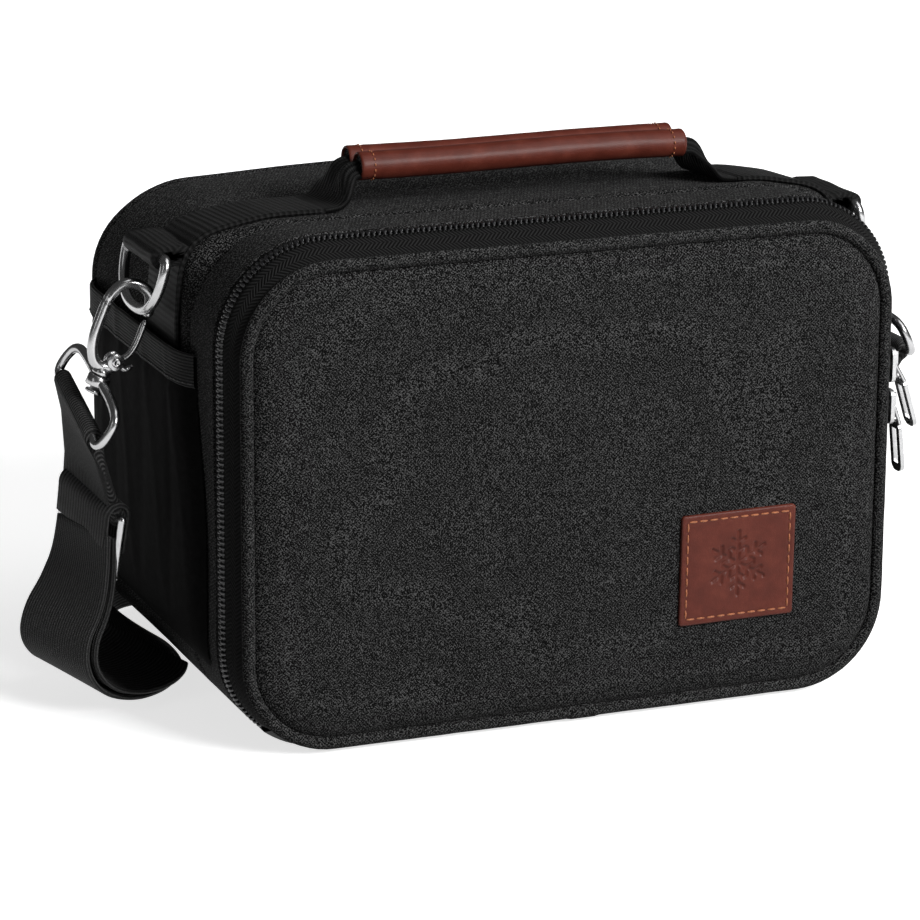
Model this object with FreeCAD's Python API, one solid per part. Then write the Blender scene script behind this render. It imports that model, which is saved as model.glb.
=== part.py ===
# Soft-sided insulated cooler bag with a zipped front flap, a padded carry handle,
# two stretch side pockets and a clip-on shoulder strap.
# Millimetres. Origin: middle of the footprint on the floor. +X to the bag's right as it is
# looked at, +Y to the back, +Z up. The zipped flap is the front, at -Y.
import FreeCAD
import Part
import math
import os

V = FreeCAD.Vector
os.makedirs("parts", exist_ok=True)

# ---------------------------------------------------------------- driving dimensions
BODY_FRONT = dict(y=-78.0, half=140.0, low=-0.1, top=200.0, corner=42.0)
BODY_BACK = dict(y=92.0, half=137.4, low=-0.1, top=189.0, corner=38.5)
FLAP_FRONT = dict(y=-90.0, half=135.0, low=1.5, top=193.0, corner=37.0)

CANVAS = 1.6            # outer fabric
FOAM = 6.4              # insulation
LINING = 1.0            # wipe-clean inner sheet
TAPE = 0.8              # zipper tape and binding
WEBBING = 1.9           # 38 mm strap webbing
WEBBING_WIDE = 38.0

GUSSET_SEAM_Y = -42.0   # seam between the front strip and the main band
BACK_SEAM_Y = 80.0      # seam between the main band and the back panel
BODY_EDGE_Y = -73.0     # front edge of the body canvas
FOAM_EDGE_Y = -70.0
BACK_Y = 92.0
BACK_EDGE_ROUND = 9.0

COIL_BODY_Y = (-77.4, -75.2)
COIL_FLAP_Y = (-81.2, -79.0)
COIL_THICK = 3.2
ZIP_END_Z = 9.0         # the zipper stops here, just above the flap's hinge line
TAIL_GAP = 0.6

FLAP_FACE_Y = (-94.5, -92.9)
FLAP_FOAM_Y = (-92.0, -86.4)
FLAP_FOAM_EDGE = 7.8     # the foam stops short of the flap's edge seam
FLAP_LINING_Y = (-86.3, -85.3)
PIPING_Y = -90.4
PIPING_R = 2.6

PATCH = dict(x=(43.0, 92.5), z=(36.0, 81.0), thick=1.5)

STRAP_Y = -15.0         # middle of the handle webbing and of the ring tabs
SIDE_STRAP_LOW_Z = 70.0
HANDLE_X = 6.0
GRIP_LONG = 138.0
GRIP_Z = 212.5
LOBE_R, LOBE_BORE, LOBE_OUT = 5.6, 4.4, 6.6
LEG_FOOT = 15.0

POCKET_Y = (-60.0, 82.0)
POCKET_Z = (30.0, 151.0)
POCKET_OUT, POCKET_IN = 6.8, 5.6
BAND_TALL, BAND_THICK = 12.0, 0.8

RING_WIRE = 2.0
RING_PIVOT = V(-146.0, STRAP_Y, 184.5)
RING_HALF = 21.5
RING_SIDE = 4.0
RING_DROP = 21.4
RING_LEAN = 13.4        # degrees out from straight down
TAB_R = 4.9

HOOK_WIRE = 2.1
HOOK_LEAN = 25.0        # degrees, lower end outwards
HOOK_HALF = 8.0
HOOK_TOP_Z = 8.5
HOOK_EARS = dict(radius=3.4, wide=6.0, slot=3.0)
RIVET_R = 1.0
RIVET_HEAD = dict(radius=1.9, thick=0.7)
POST_R = 2.0            # post of the hook that turns in the swivel ring
HOOK_AT_RING = V(2.0, 0, 11.2)   # where the ring's wire lies in the hook's own frame
SWIVEL_Z = -22.0
SWIVEL_BORE = 2.08
GATE_PIN = V(3.0, 0, -12.5)
GATE_TIP = V(7.4, 0, 7.5)

BASE_RING_HALF = 22.5
BASE_RING_DROP = 14.0
BASE_RING_WIRE = 1.9
BASE_RING_LEAN = 21.0   # degrees, the left ring's front end hangs lower
BASE_RING_TURN = 14.0   # degrees, and it is turned in towards the bag

SLIDER_UP_Z, SLIDER_LOW_Z = 129.0, 112.0
SLIDER_LONG = 14.0
SLIDER_MID_Y = -78.2
PULL_LONG = 28.0
PULL_HALF = 4.2
PULL_CORNER = 3.2
PULL_WIRE = 0.75
PULL_LEAN = (17.0, 6.0) # degrees that the upper and lower pulls stand out at rest

ADJUSTER_WIRE = 1.7
ADJUSTER_HALF = 21.5
ADJUSTER_TALL = 24.0
ADJUSTER_TOP = V(-168.3, -12.6, 87.5)
ADJUSTER_ACROSS = V(0.22, -0.95, -0.20)
ADJUSTER_DOWN = V(-0.05, 0.0, -1.0)

STRAP_THICK = 2.0
# Middle line of the webbing, and the direction across it at each point.
STRAP_POINTS = [
    (V(-172.9, -13.0, 77.0), V(0.22, -0.95, -0.20)),
    (V(-174.2, -13.2, 63.0), V(0.25, -0.93, -0.25)),
    (V(-178.5, -13.5, 49.5), V(0.33, -0.91, -0.24)),
    (V(-185.0, -13.5, 38.0), V(0.42, -0.89, -0.20)),
    (V(-186.0, -12.5, 25.5), V(0.47, -0.86, -0.20)),
    (V(-178.5, -8.5, 15.0), V(0.54, -0.79, -0.26)),
    (V(-166.5, -0.5, 9.6), V(0.62, -0.72, -0.30)),
    (V(-151.0, 9.5, 8.6), V(0.74, -0.56, -0.38)),
    (V(-138.5, 23.0, 10.6), V(0.84, -0.30, -0.46)),
    (V(-135.0, 44.0, 12.2), V(0.85, -0.08, -0.52)),
    (V(-138.5, 66.0, 14.6), V(0.77, 0.06, -0.63)),
    (V(-139.5, 86.0, 17.6), V(0.54, 0.20, -0.81)),
    (V(-130.0, 101.5, 20.0), V(0.20, 0.16, -0.95)),
    (V(-112.0, 107.0, 20.6), V(0.0, 0.12, -0.99)),
    (V(-78.0, 104.5, 20.6), V(0.0, 0.12, -0.99)),
    (V(-36.0, 103.5, 20.6), V(0.0, 0.10, -0.99)),
    (V(10.0, 105.0, 20.6), V(0.0, 0.12, -0.99)),
    (V(56.0, 103.5, 20.6), V(0.0, 0.10, -0.99)),
    (V(100.0, 105.5, 20.6), V(0.0, 0.12, -0.99)),
    (V(128.0, 102.0, 20.6), V(0.0, 0.12, -0.99)),
    (V(149.5, 87.0, 21.0), V(0.10, 0.05, -0.98)),
    (V(156.0, 62.0, 22.8), V(0.10, -0.16, -0.97)),
    (V(157.5, 34.0, 29.0), V(0.05, -0.42, -0.90)),
    (V(159.5, 11.0, 43.0), V(0.0, -0.74, -0.66)),
    (V(162.0, -4.0, 63.0), V(0.0, -0.93, -0.36)),
    (V(163.5, -11.0, 84.0), V(0.0, -0.99, -0.12)),
    (V(164.5, -13.0, 103.0), V(0.0, -1.0, 0.0)),
]


# ---------------------------------------------------------------- shared shapes
def save(name, shape):
    """One STEP file per node. A group of separate solids is one compound."""
    solids = shape.Solids
    if not solids or not all(s.isValid() for s in solids):
        raise ValueError("bad solid in " + name)
    out = solids[0] if len(solids) == 1 else Part.makeCompound(solids)
    out.exportStep("parts/" + name + ".step")
    box = out.optimalBoundingBox()
    print("%-22s %2d solids %9.0f mm3  x %.1f %.1f  y %.1f %.1f  z %.1f %.1f" % (
        name, len(solids), out.Volume, box.XMin, box.XMax, box.YMin, box.YMax, box.ZMin, box.ZMax))
    return out


def mirrored(shape):
    return shape.mirror(V(0, 0, 0), V(1, 0, 0))


def box(x, y, z):
    size = [b - a for a, b in (x, y, z)]
    return Part.makeBox(size[0], size[1], size[2], V(x[0], y[0], z[0]))


def fuse(shapes):
    return shapes[0].multiFuse(shapes[1:]).removeSplitter()


def rounded_wire(y, half, low, top, corner):
    """Rounded rectangle in the plane at depth y, always four lines and four arcs in one order."""
    r = corner
    inner, up, down = half - r, top - r, low + r
    k = r * math.sqrt(0.5)
    corners = [(inner, down, 1, -1), (inner, up, 1, 1), (-inner, up, -1, 1), (-inner, down, -1, -1)]
    edges = []
    ends = []
    for cx, cz, sx, sz in corners:
        along_x = V(cx, y, cz + sz * r)
        along_z = V(cx + sx * r, y, cz)
        middle = V(cx + sx * k, y, cz + sz * k)
        first, last = (along_x, along_z) if sx * sz < 0 else (along_z, along_x)
        ends.append((first, middle, last))
    for i, (first, middle, last) in enumerate(ends):
        edges.append(Part.Arc(first, middle, last).toShape())
        edges.append(Part.LineSegment(last, ends[(i + 1) % 4][0]).toShape())
    return Part.Wire(edges)


def body_wire(y, inset):
    """Outline of the body at depth y, moved inwards by inset."""
    s = (y - BODY_FRONT["y"]) / (BODY_BACK["y"] - BODY_FRONT["y"])
    a = {k: BODY_FRONT[k] + s * (BODY_BACK[k] - BODY_FRONT[k]) for k in ("half", "low", "top", "corner")}
    return rounded_wire(y, a["half"] - inset, a["low"] + inset, a["top"] - inset, a["corner"] - inset)


def body_half(y):
    s = (y - BODY_FRONT["y"]) / (BODY_BACK["y"] - BODY_FRONT["y"])
    return BODY_FRONT["half"] + s * (BODY_BACK["half"] - BODY_FRONT["half"])


def body_top(y):
    s = (y - BODY_FRONT["y"]) / (BODY_BACK["y"] - BODY_FRONT["y"])
    return BODY_FRONT["top"] + s * (BODY_BACK["top"] - BODY_FRONT["top"])


def flap_wire(y, inset):
    f = FLAP_FRONT
    return rounded_wire(y, f["half"] - inset, f["low"] + inset, f["top"] - inset, f["corner"] - inset)


def loft(wires):
    return Part.makeLoft(wires, True, True)


def band(y, outer, inner):
    """Ring of the body between two depths, from one inset to another."""
    solid = loft([body_wire(v, outer) for v in y])
    return solid.cut(loft([body_wire(v, inner) for v in y]))


def plate(wire_at, y, inset):
    face = Part.Face(wire_at(y[0], inset))
    return face.extrude(V(0, y[1] - y[0], 0))


def tube_run(a, b, r):
    return Part.makeCylinder(r, (b - a).Length, a, b - a)


def rod_path(points, r):
    """Round wire along straight runs, with a ball at each bend."""
    pieces = [tube_run(a, b, r) for a, b in zip(points, points[1:])]
    pieces += [Part.makeSphere(r, p) for p in points[1:-1]]
    return fuse(pieces)


def arc_wire(a, mid, b, r):
    """Round wire along an arc through three points."""
    path = Part.Wire([Part.Arc(a, mid, b).toShape()])
    start = path.Edges[0].tangentAt(path.Edges[0].FirstParameter)
    ring = Part.Wire([Part.makeCircle(r, a, start)])
    return path.makePipeShell([ring], True, True)


def zipper_opening():
    """Cuts the zipper away along the bottom, where the flap is hinged."""
    return box((-160, 160), (-120, -40), (-20, ZIP_END_Z))


# ---------------------------------------------------------------- body shell
def on_floor(shape):
    """The underside is one flat face on the floor."""
    return shape.cut(box((-160, 160), (-120, 120), (-10, 0)))


def body_shell():
    save("front_gusset", on_floor(band((BODY_EDGE_Y, GUSSET_SEAM_Y), 0.0, CANVAS)))
    save("main_gusset", on_floor(band((GUSSET_SEAM_Y, BACK_SEAM_Y), 0.0, CANVAS)))
    back = loft([body_wire(y, 0.0) for y in (BACK_SEAM_Y, BACK_Y)])
    rim = [e for e in back.Edges if abs(e.BoundBox.YMin - BACK_Y) < 0.01 and e.BoundBox.YLength < 0.01]
    back = back.makeFillet(BACK_EDGE_ROUND, rim)
    hollow = loft([body_wire(y, CANVAS) for y in (BACK_SEAM_Y, BACK_Y - CANVAS)])
    rim = [e for e in hollow.Edges
           if abs(e.BoundBox.YMin - BACK_Y + CANVAS) < 0.01 and e.BoundBox.YLength < 0.01]
    save("back_panel", on_floor(back.cut(hollow.makeFillet(BACK_EDGE_ROUND - CANVAS, rim))))


def body_padding():
    outer, inner = CANVAS + 0.05, CANVAS + FOAM
    back_y = BACK_Y - CANVAS - 0.1
    foam_back = back_y - FOAM
    save("gusset_foam", band((FOAM_EDGE_Y, foam_back - 0.05), outer, inner))
    sheet = loft([body_wire(y, outer + 1.0) for y in (foam_back, back_y)])
    rim = [e for e in sheet.Edges if abs(e.BoundBox.YMin - back_y) < 0.01 and e.BoundBox.YLength < 0.01]
    save("back_foam", sheet.makeFillet(FOAM - 0.4, rim))
    cup_back = foam_back - 0.05
    cup = loft([body_wire(y, inner + 0.05) for y in (FOAM_EDGE_Y, cup_back)])
    cup = cup.cut(loft([body_wire(y, inner + LINING) for y in (FOAM_EDGE_Y, cup_back - LINING)]))
    save("inner_lining", cup)


# ---------------------------------------------------------------- front flap
def flap():
    save("flap_face", plate(flap_wire, FLAP_FACE_Y, 2 * PIPING_R + 0.2))
    save("flap_foam", plate(flap_wire, FLAP_FOAM_Y, FLAP_FOAM_EDGE))
    save("flap_lining", plate(flap_wire, FLAP_LINING_Y, 2 * PIPING_R + 0.4))
    save("flap_piping", piping())
    x, z, t = PATCH["x"], PATCH["z"], PATCH["thick"]
    y = FLAP_FACE_Y[0] - 0.05
    patch = box(x, (y - t, y), z)
    upright = [e for e in patch.Edges if abs(e.BoundBox.YLength - t) < 0.01]
    save("leather_patch", patch.makeFillet(2.0, upright))


def piping():
    """Fabric-covered cord round the edge of the flap, with a rounded section."""
    y = (PIPING_Y - PIPING_R, PIPING_Y + PIPING_R)
    ring = plate(flap_wire, y, 0.0).cut(plate(flap_wire, y, 2 * PIPING_R))
    rims = [e for e in ring.Edges if e.BoundBox.YLength < 0.01]
    return ring.makeFillet(PIPING_R * 0.8, rims)


def ring_between(first, last, thick):
    """Sloping ring between two outlines, each given as (wire maker, depth, inset)."""
    outer = loft([w(y, i) for w, y, i in (first, last)])
    return outer.cut(loft([w(y, i + thick) for w, y, i in (first, last)]))


def zipper():
    gone = zipper_opening()
    flap_tape = ring_between((flap_wire, -87.7, 0.8), (body_wire, COIL_FLAP_Y[0] - 0.05, 1.6), TAPE)
    save("flap_zip_tape", flap_tape.cut(gone))
    body_tape = band((COIL_BODY_Y[1] + 0.05, BODY_EDGE_Y - 0.05), 1.2, 1.2 + TAPE)
    save("body_zip_tape", body_tape.cut(gone))
    save("flap_zip_coil", band(COIL_FLAP_Y, 0.0, COIL_THICK).cut(gone))
    save("body_zip_coil", band(COIL_BODY_Y, 0.0, COIL_THICK).cut(gone))
    tails = band((COIL_FLAP_Y[0], COIL_BODY_Y[1]), 0.0, COIL_THICK)
    keep = box((-160, 160), (-120, -40), (1.0, ZIP_END_Z - TAIL_GAP)).cut(
        box((-112, 112), (-120, -40), (-1, 20)))
    save("zip_end_stops", tails.common(keep))


def hinge_gusset():
    """Canvas strip that joins the flap to the body along the bottom and lets it swing."""
    strip = ring_between((flap_wire, -87.5, -0.4), (body_wire, BODY_EDGE_Y - 0.05, 0.4), 1.0)
    keep = box((-110, 110), (-120, -40), (-5, 30))
    save("flap_hinge_gusset", strip.common(keep))


# ---------------------------------------------------------------- side pockets
def pockets():
    """A stretch panel held along three edges, open at the top under an elastic band."""
    y, z = POCKET_Y, POCKET_Z
    skin = band(y, -POCKET_OUT, -0.1).common(box((-200, 0), y, z))
    room = band((y[0] + 2.0, y[1] - 2.0), -POCKET_IN, 0.0)
    skin = skin.cut(room.common(box((-200, 0), y, (z[0] + 2.0, z[1] + 10.0))))
    edge = band(y, -POCKET_OUT - BAND_THICK, -POCKET_OUT)
    edge = edge.common(box((-200, 0), y, (z[1] - BAND_TALL, z[1])))
    for side, turn in (("left", lambda s: s), ("right", mirrored)):
        save(side + "_pocket", turn(skin))
        save(side + "_pocket_band", turn(edge))


# ---------------------------------------------------------------- webbing and handle
def strap_span():
    return (STRAP_Y - WEBBING_WIDE / 2, STRAP_Y + WEBBING_WIDE / 2)


def side_straps():
    """Handle webbing laid on the body from inside the pocket, over the corner, to the handle."""
    ring = band(strap_span(), -0.05 - WEBBING, -0.05)
    foot = HANDLE_X - GRIP_LONG / 2 - LEG_FOOT
    left = ring.common(box((-200, foot), (-60, 40), (SIDE_STRAP_LOW_Z, 230)))
    save("left_side_strap", left)
    foot = HANDLE_X + GRIP_LONG / 2 + LEG_FOOT
    right = ring.common(box((foot, 200), (-60, 40), (SIDE_STRAP_LOW_Z, 230)))
    save("right_side_strap", right)


def handle_leg(side):
    """Webbing between the body and one end of the grip."""
    end = HANDLE_X + side * GRIP_LONG / 2
    foot = end + side * (LEG_FOOT - 0.3)
    low = [V(foot, y, body_top(y) + 0.15) for y in strap_span()]
    high = [V(end + side * 0.4, STRAP_Y + s * (LOBE_OUT + 4), GRIP_Z - 1.0) for s in (-1, 1)]
    up = V(0, 0, WEBBING)
    sections = [Part.makePolygon([a, b, b + up, a + up, a]) for a, b in (low, high)]
    return loft(sections)


def handle():
    """Leather sleeve sewn into two lobes over a webbing core."""
    start = HANDLE_X - GRIP_LONG / 2
    lobes = [V(start, STRAP_Y + s * LOBE_OUT, GRIP_Z) for s in (-1, 1)]
    outer = [Part.makeCylinder(LOBE_R, GRIP_LONG, p, V(1, 0, 0)) for p in lobes]
    bridge = box((start, start + GRIP_LONG), (STRAP_Y - LOBE_OUT, STRAP_Y + LOBE_OUT),
                 (GRIP_Z - LOBE_R, GRIP_Z - LOBE_R + 4.0))
    bores = [Part.makeCylinder(LOBE_BORE, GRIP_LONG + 2, p - V(1, 0, 0), V(1, 0, 0)) for p in lobes]
    grip = fuse(outer + [bridge])
    for bore in bores:
        grip = grip.cut(bore)
    save("handle_grip", grip)
    core = [Part.makeCylinder(LOBE_BORE - 0.1, GRIP_LONG - 2, p + V(1, 0, 0), V(1, 0, 0)) for p in lobes]
    save("handle_core", Part.makeCompound(core))
    save("left_handle_leg", handle_leg(-1))
    save("right_handle_leg", handle_leg(1))


# ---------------------------------------------------------------- rings and their tabs
def lean(shape, pivot, degrees):
    """Turns a left-hand piece about the Y axis through pivot; positive swings its low end outwards."""
    out = shape.copy()
    out.rotate(pivot, V(0, 1, 0), degrees)
    return out


def d_ring():
    p = RING_PIVOT
    back, front = p + V(0, RING_HALF, 0), p - V(0, RING_HALF, 0)
    down = V(0, 0, -RING_SIDE)
    bar = rod_path([back + down, back, front, front + down], RING_WIRE)
    bow = arc_wire(back + down, p + V(0, 0, -RING_DROP), front + down, RING_WIRE)
    ends = [Part.makeSphere(RING_WIRE, q + down) for q in (back, front)]
    return lean(fuse([bar, bow] + ends), p, RING_LEAN)


def ring_tab():
    """Webbing loop that holds the ring's straight bar against the corner of the body."""
    p = RING_PIVOT
    y = (STRAP_Y - RING_HALF + 3.2, STRAP_Y + RING_HALF - 3.2)
    nose = Part.makeCylinder(TAB_R, y[1] - y[0], V(p.x, y[0], p.z), V(0, 1, 0))
    root = box((p.x, -100), y, (p.z - 1.2, p.z + TAB_R))
    tab = fuse([nose, root])
    clear = loft([body_wire(v, -0.1) for v in (y[0] - 2, y[1] + 2)])
    strap = band(strap_span(), -0.15 - WEBBING, 2.0)
    bore = Part.makeCylinder(RING_WIRE + 0.08, y[1] - y[0] + 2, V(p.x, y[0] - 1, p.z), V(0, 1, 0))
    tab = tab.cut(clear).cut(strap).cut(bore)
    return max(tab.Solids, key=lambda s: s.Volume)


def rings():
    ring, tab = d_ring(), ring_tab()
    for side, turn in (("left", lambda s: s), ("right", mirrored)):
        save(side + "_d_ring", turn(ring))
        save(side + "_ring_tab", turn(tab))


# ---------------------------------------------------------------- snap hooks
def hook_place():
    """The left hook's own frame: +Z along the hook to the ring, +X towards the bag."""
    drop = V(0, 0, -RING_DROP)
    turn = FreeCAD.Rotation(V(0, 1, 0), RING_LEAN)
    wire = RING_PIVOT + turn.multVec(drop)
    tilt = FreeCAD.Rotation(V(0, 1, 0), HOOK_LEAN)
    return FreeCAD.Placement(wire - tilt.multVec(HOOK_AT_RING), tilt)


def upright_plate(points, y, arc_tops=()):
    """Plate in the XZ plane through the given points, y thick; a point in arc_tops is passed by an arc."""
    half = y / 2
    edges = []
    ring = [V(x, -half, z) for x, z in points]
    for i, start in enumerate(ring):
        end = ring[(i + 1) % len(ring)]
        top = [V(x, -half, z) for k, x, z in arc_tops if k == i]
        edge = Part.Arc(start, top[0], end) if top else Part.LineSegment(start, end)
        edges.append(edge.toShape())
    return Part.Face(Part.Wire(edges)).extrude(V(0, y, 0))


def hook_body():
    """Bent spine, the post that turns in the swivel, and the two ears for the gate."""
    w, a = HOOK_WIRE, HOOK_HALF
    out, inn, top = a + w, a - w, HOOK_TOP_Z
    outer = [(-out, top), (out, top), (out, -9.0), (4.0, -19.0), (-4.0, -19.0), (-out, -9.0)]
    inner = [(-inn, top), (inn, top), (inn, -7.5), (1.6, -14.0), (-1.6, -14.0), (-inn, -7.5)]
    body = upright_plate(outer, 2 * w, [(0, 0, top + out)])
    body = body.cut(upright_plate(inner, 4 * w, [(0, 0, top + inn)]))
    ears = HOOK_EARS
    ear_block = Part.makeCylinder(ears["radius"], ears["wide"],
                                  GATE_PIN - V(0, ears["wide"] / 2, 0), V(0, 1, 0))
    post = Part.makeCylinder(POST_R, 8.0, V(0, 0, SWIVEL_Z - 3.5), V(0, 0, 1))
    head = Part.makeCylinder(3.4, 1.4, V(0, 0, SWIVEL_Z - 4.9), V(0, 0, 1))
    collar = Part.makeCylinder(3.6, 2.2, V(0, 0, SWIVEL_Z + 2.6), V(0, 0, 1))
    gate_gap = box((1.8, 14.0), (-4.0, 4.0), (GATE_PIN.z + 1.0, GATE_TIP.z))
    body = body.cut(gate_gap).fuse([ear_block, post, head, collar])
    gap = ears["slot"] / 2
    slot = box((GATE_PIN.x - 3.6, GATE_PIN.x + 12.0), (-gap, gap), (GATE_PIN.z - 3.1, GATE_PIN.z + 6.0))
    pin_hole = Part.makeCylinder(RIVET_R + 0.02, 10, GATE_PIN - V(0, 5, 0), V(0, 1, 0))
    return max(body.cut(slot).cut(pin_hole).Solids, key=lambda s: s.Volume)


def hook_gate():
    """Sprung gate: it turns about the rivet and closes against the nose of the hook."""
    eye = Part.makeCylinder(2.7, 2.6, GATE_PIN - V(0, 1.3, 0), V(0, 1, 0))
    x, z = GATE_PIN.x, GATE_PIN.z
    tip = GATE_TIP.z - 1.0
    outer, inner = HOOK_HALF + 1.6, HOOK_HALF - 1.2
    arm = upright_plate([(x - 1.0, z + 1.0), (x + 2.4, z - 0.6), (outer, z + 5.0), (outer, tip),
                         (inner, tip), (inner, z + 5.8)], 2.6)
    hole = Part.makeCylinder(RIVET_R + 0.06, 4, GATE_PIN - V(0, 2, 0), V(0, 1, 0))
    return arm.fuse(eye).cut(hole)


def gate_rivet():
    half, head = HOOK_EARS["wide"] / 2, RIVET_HEAD
    pin = Part.makeCylinder(RIVET_R, 2 * half, GATE_PIN - V(0, half, 0), V(0, 1, 0))
    heads = [Part.makeCylinder(head["radius"], head["thick"], GATE_PIN + V(0, y, 0), V(0, 1, 0))
             for y in (-half - head["thick"], half)]
    return fuse([pin] + heads)


def ring_turn(side):
    """How the swivel ring hangs in its hook's frame."""
    if side == "right":
        return FreeCAD.Rotation()
    lean_down = FreeCAD.Rotation(V(1, 0, 0), BASE_RING_LEAN)
    return FreeCAD.Rotation(V(0, 0, 1), BASE_RING_TURN).multiply(lean_down)


def base_ring(side):
    """Wire loop below the swivel that the shoulder strap is sewn round."""
    h, d = BASE_RING_HALF, BASE_RING_DROP
    w = BASE_RING_WIRE
    pts = [V(0, 4, 0), V(0, h - 5, -1.5), V(0, h, -6), V(0, h, -d + 2), V(0, h - 2, -d)]
    far = [V(p.x, -p.y, p.z) for p in reversed(pts)]
    frame = rod_path(pts + far, w)
    frame.Placement = FreeCAD.Placement(V(0, 0, 0), ring_turn(side))
    boss = Part.makeCylinder(4.6, 4.4, V(0, 0, -2.2), V(0, 0, 1))
    ring = fuse([frame, boss])
    ring = ring.cut(Part.makeCylinder(SWIVEL_BORE, 12, V(0, 0, -6), V(0, 0, 1)))
    ring = ring.cut(Part.makeCylinder(3.8, 4.0, V(0, 0, -6.4), V(0, 0, 1)))
    ring = ring.cut(Part.makeCylinder(4.0, 4.0, V(0, 0, 2.6), V(0, 0, 1)))
    ring = max(ring.Solids, key=lambda s: s.Volume)
    ring.translate(V(0, 0, SWIVEL_Z))
    return ring


def hooks():
    place = hook_place()
    pieces = [("hook_body", hook_body()), ("hook_gate", hook_gate()), ("gate_rivet", gate_rivet())]
    for name, shape in pieces:
        shape.Placement = place.multiply(shape.Placement)
        save("left_" + name, shape)
        save("right_" + name, mirrored(shape))
    for side in ("left", "right"):
        ring = base_ring(side)
        ring.Placement = place.multiply(ring.Placement)
        save(side + "_swivel_ring", ring if side == "left" else mirrored(ring))


# ---------------------------------------------------------------- sliders and pulls
def slider(z):
    """Two plates over and under the teeth, joined by a thin post between the halves."""
    half = SLIDER_LONG / 2
    x = body_half(SLIDER_MID_Y)
    span = (z - half, z + half)
    top = box((x + 0.4, x + 2.0), (SLIDER_MID_Y - 5.2, SLIDER_MID_Y + 5.2), span)
    top = top.makeFillet(2.6, [e for e in top.Edges if e.BoundBox.XLength > 1.5 and e.BoundBox.YLength < 0.1
                               and e.BoundBox.ZLength < 0.1])
    under = box((x - COIL_THICK - 2.0, x - COIL_THICK - 0.4), (SLIDER_MID_Y - 4.6, SLIDER_MID_Y + 4.6), span)
    post = box((x - COIL_THICK - 0.6, x + 0.6), (SLIDER_MID_Y - 0.45, SLIDER_MID_Y + 0.45), (z - 2, z + 2))
    bridge = box((x + 1.8, x + 4.6), (SLIDER_MID_Y - 1.6, SLIDER_MID_Y + 1.6), (z - 5, z + 5))
    bridge = bridge.cut(box((x + 2.0, x + 3.7), (SLIDER_MID_Y - 3, SLIDER_MID_Y + 3), (z - 3.4, z + 3.4)))
    return fuse([top, under, post, bridge])


def pull_tab(z, degrees):
    """Flat tab with a long eye; its top loop runs through the slider's bridge. It hangs out by degrees."""
    x = body_half(SLIDER_MID_Y) + 2.85
    y = SLIDER_MID_Y
    loop = rod_path([V(x, y - 3.0, z), V(x, y + 3.0, z), V(x + 1.6, y + 3.6, z - 7.5),
                     V(x + 1.6, y - 3.6, z - 7.5), V(x, y - 3.0, z)], PULL_WIRE)
    blade = box((x + 0.8, x + 2.4), (y - PULL_HALF, y + PULL_HALF), (z - PULL_LONG, z - 7.0))
    blade = blade.makeFillet(PULL_CORNER, [e for e in blade.Edges if e.BoundBox.XLength > 1.5
                                           and e.BoundBox.YLength < 0.1 and e.BoundBox.ZLength < 0.1])
    eye = box((x, x + 3), (y - 1.7, y + 1.7), (z - PULL_LONG + 3.5, z - 10.0))
    return lean(fuse([loop, blade.cut(eye)]), V(x, y, z), -degrees)


def sliders():
    for name, z, degrees in (("upper", SLIDER_UP_Z, PULL_LEAN[0]), ("lower", SLIDER_LOW_Z, PULL_LEAN[1])):
        save(name + "_slider", slider(z))
        save(name + "_pull_tab", pull_tab(z, degrees))


# ---------------------------------------------------------------- shoulder strap
def strap_section(point, across, along, thick, wide):
    across = (across - along * across.dot(along)).normalize()
    up = along.cross(across).normalize() * (thick / 2)
    side = across * (wide / 2)
    ring = [point + side + up, point + side - up, point - side - up, point - side + up]
    return Part.makePolygon(ring + [ring[0]])


def rounded_route(points):
    """Straight runs joined by tangent arcs, given as (place, direction across, direction along)."""
    out = []
    places = [p for p, _ in points]
    for i in range(len(points)):
        p, across = points[i]
        if i in (0, len(points) - 1):
            run = (places[1] - places[0]) if i == 0 else (places[-1] - places[-2])
            out.append((p, across, run.normalize()))
            continue
        back, ahead = places[i - 1] - p, places[i + 1] - p
        reach = 0.45 * min(back.Length, ahead.Length)
        start = p + back.normalize() * reach
        end = p + ahead.normalize() * reach
        turn = math.pi - back.getAngle(ahead)
        radius = reach / math.tan(turn / 2)
        arc = Part.Arc(start, p + (back + ahead).normalize() * (radius / math.cos(turn / 2) - radius), end)
        edge = arc.toShape()
        steps = 3
        for k in range(steps + 1):
            t = edge.FirstParameter + (edge.LastParameter - edge.FirstParameter) * k / steps
            before, after = points[i - 1][1], points[i + 1][1]
            near = 0.45 * (1 - 2.0 * k / steps)
            blended = across * (1 - abs(near)) + (before if near > 0 else after) * abs(near)
            out.append((edge.valueAt(t), blended, edge.tangentAt(t)))
    return out


def shoulder_strap():
    route = rounded_route(STRAP_POINTS)
    sections = [strap_section(p, a, t, STRAP_THICK, WEBBING_WIDE) for p, a, t in route]
    strap = Part.makeLoft(sections, True, True)
    length = sum((b[0] - a[0]).Length for a, b in zip(route, route[1:]))
    print("strap length %.0f mm, volume over section times length %.3f" % (
        length, strap.Volume / (length * STRAP_THICK * WEBBING_WIDE)))
    save("shoulder_strap", strap)


def frame_at(point, across, along):
    """Placement whose +Y runs across the webbing and -Z along it."""
    y = FreeCAD.Vector(across).normalize()
    z = (y * along.dot(y) - along).normalize()
    return FreeCAD.Placement(point, FreeCAD.Rotation(y.cross(z), y, z, "XYZ"))


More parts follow.
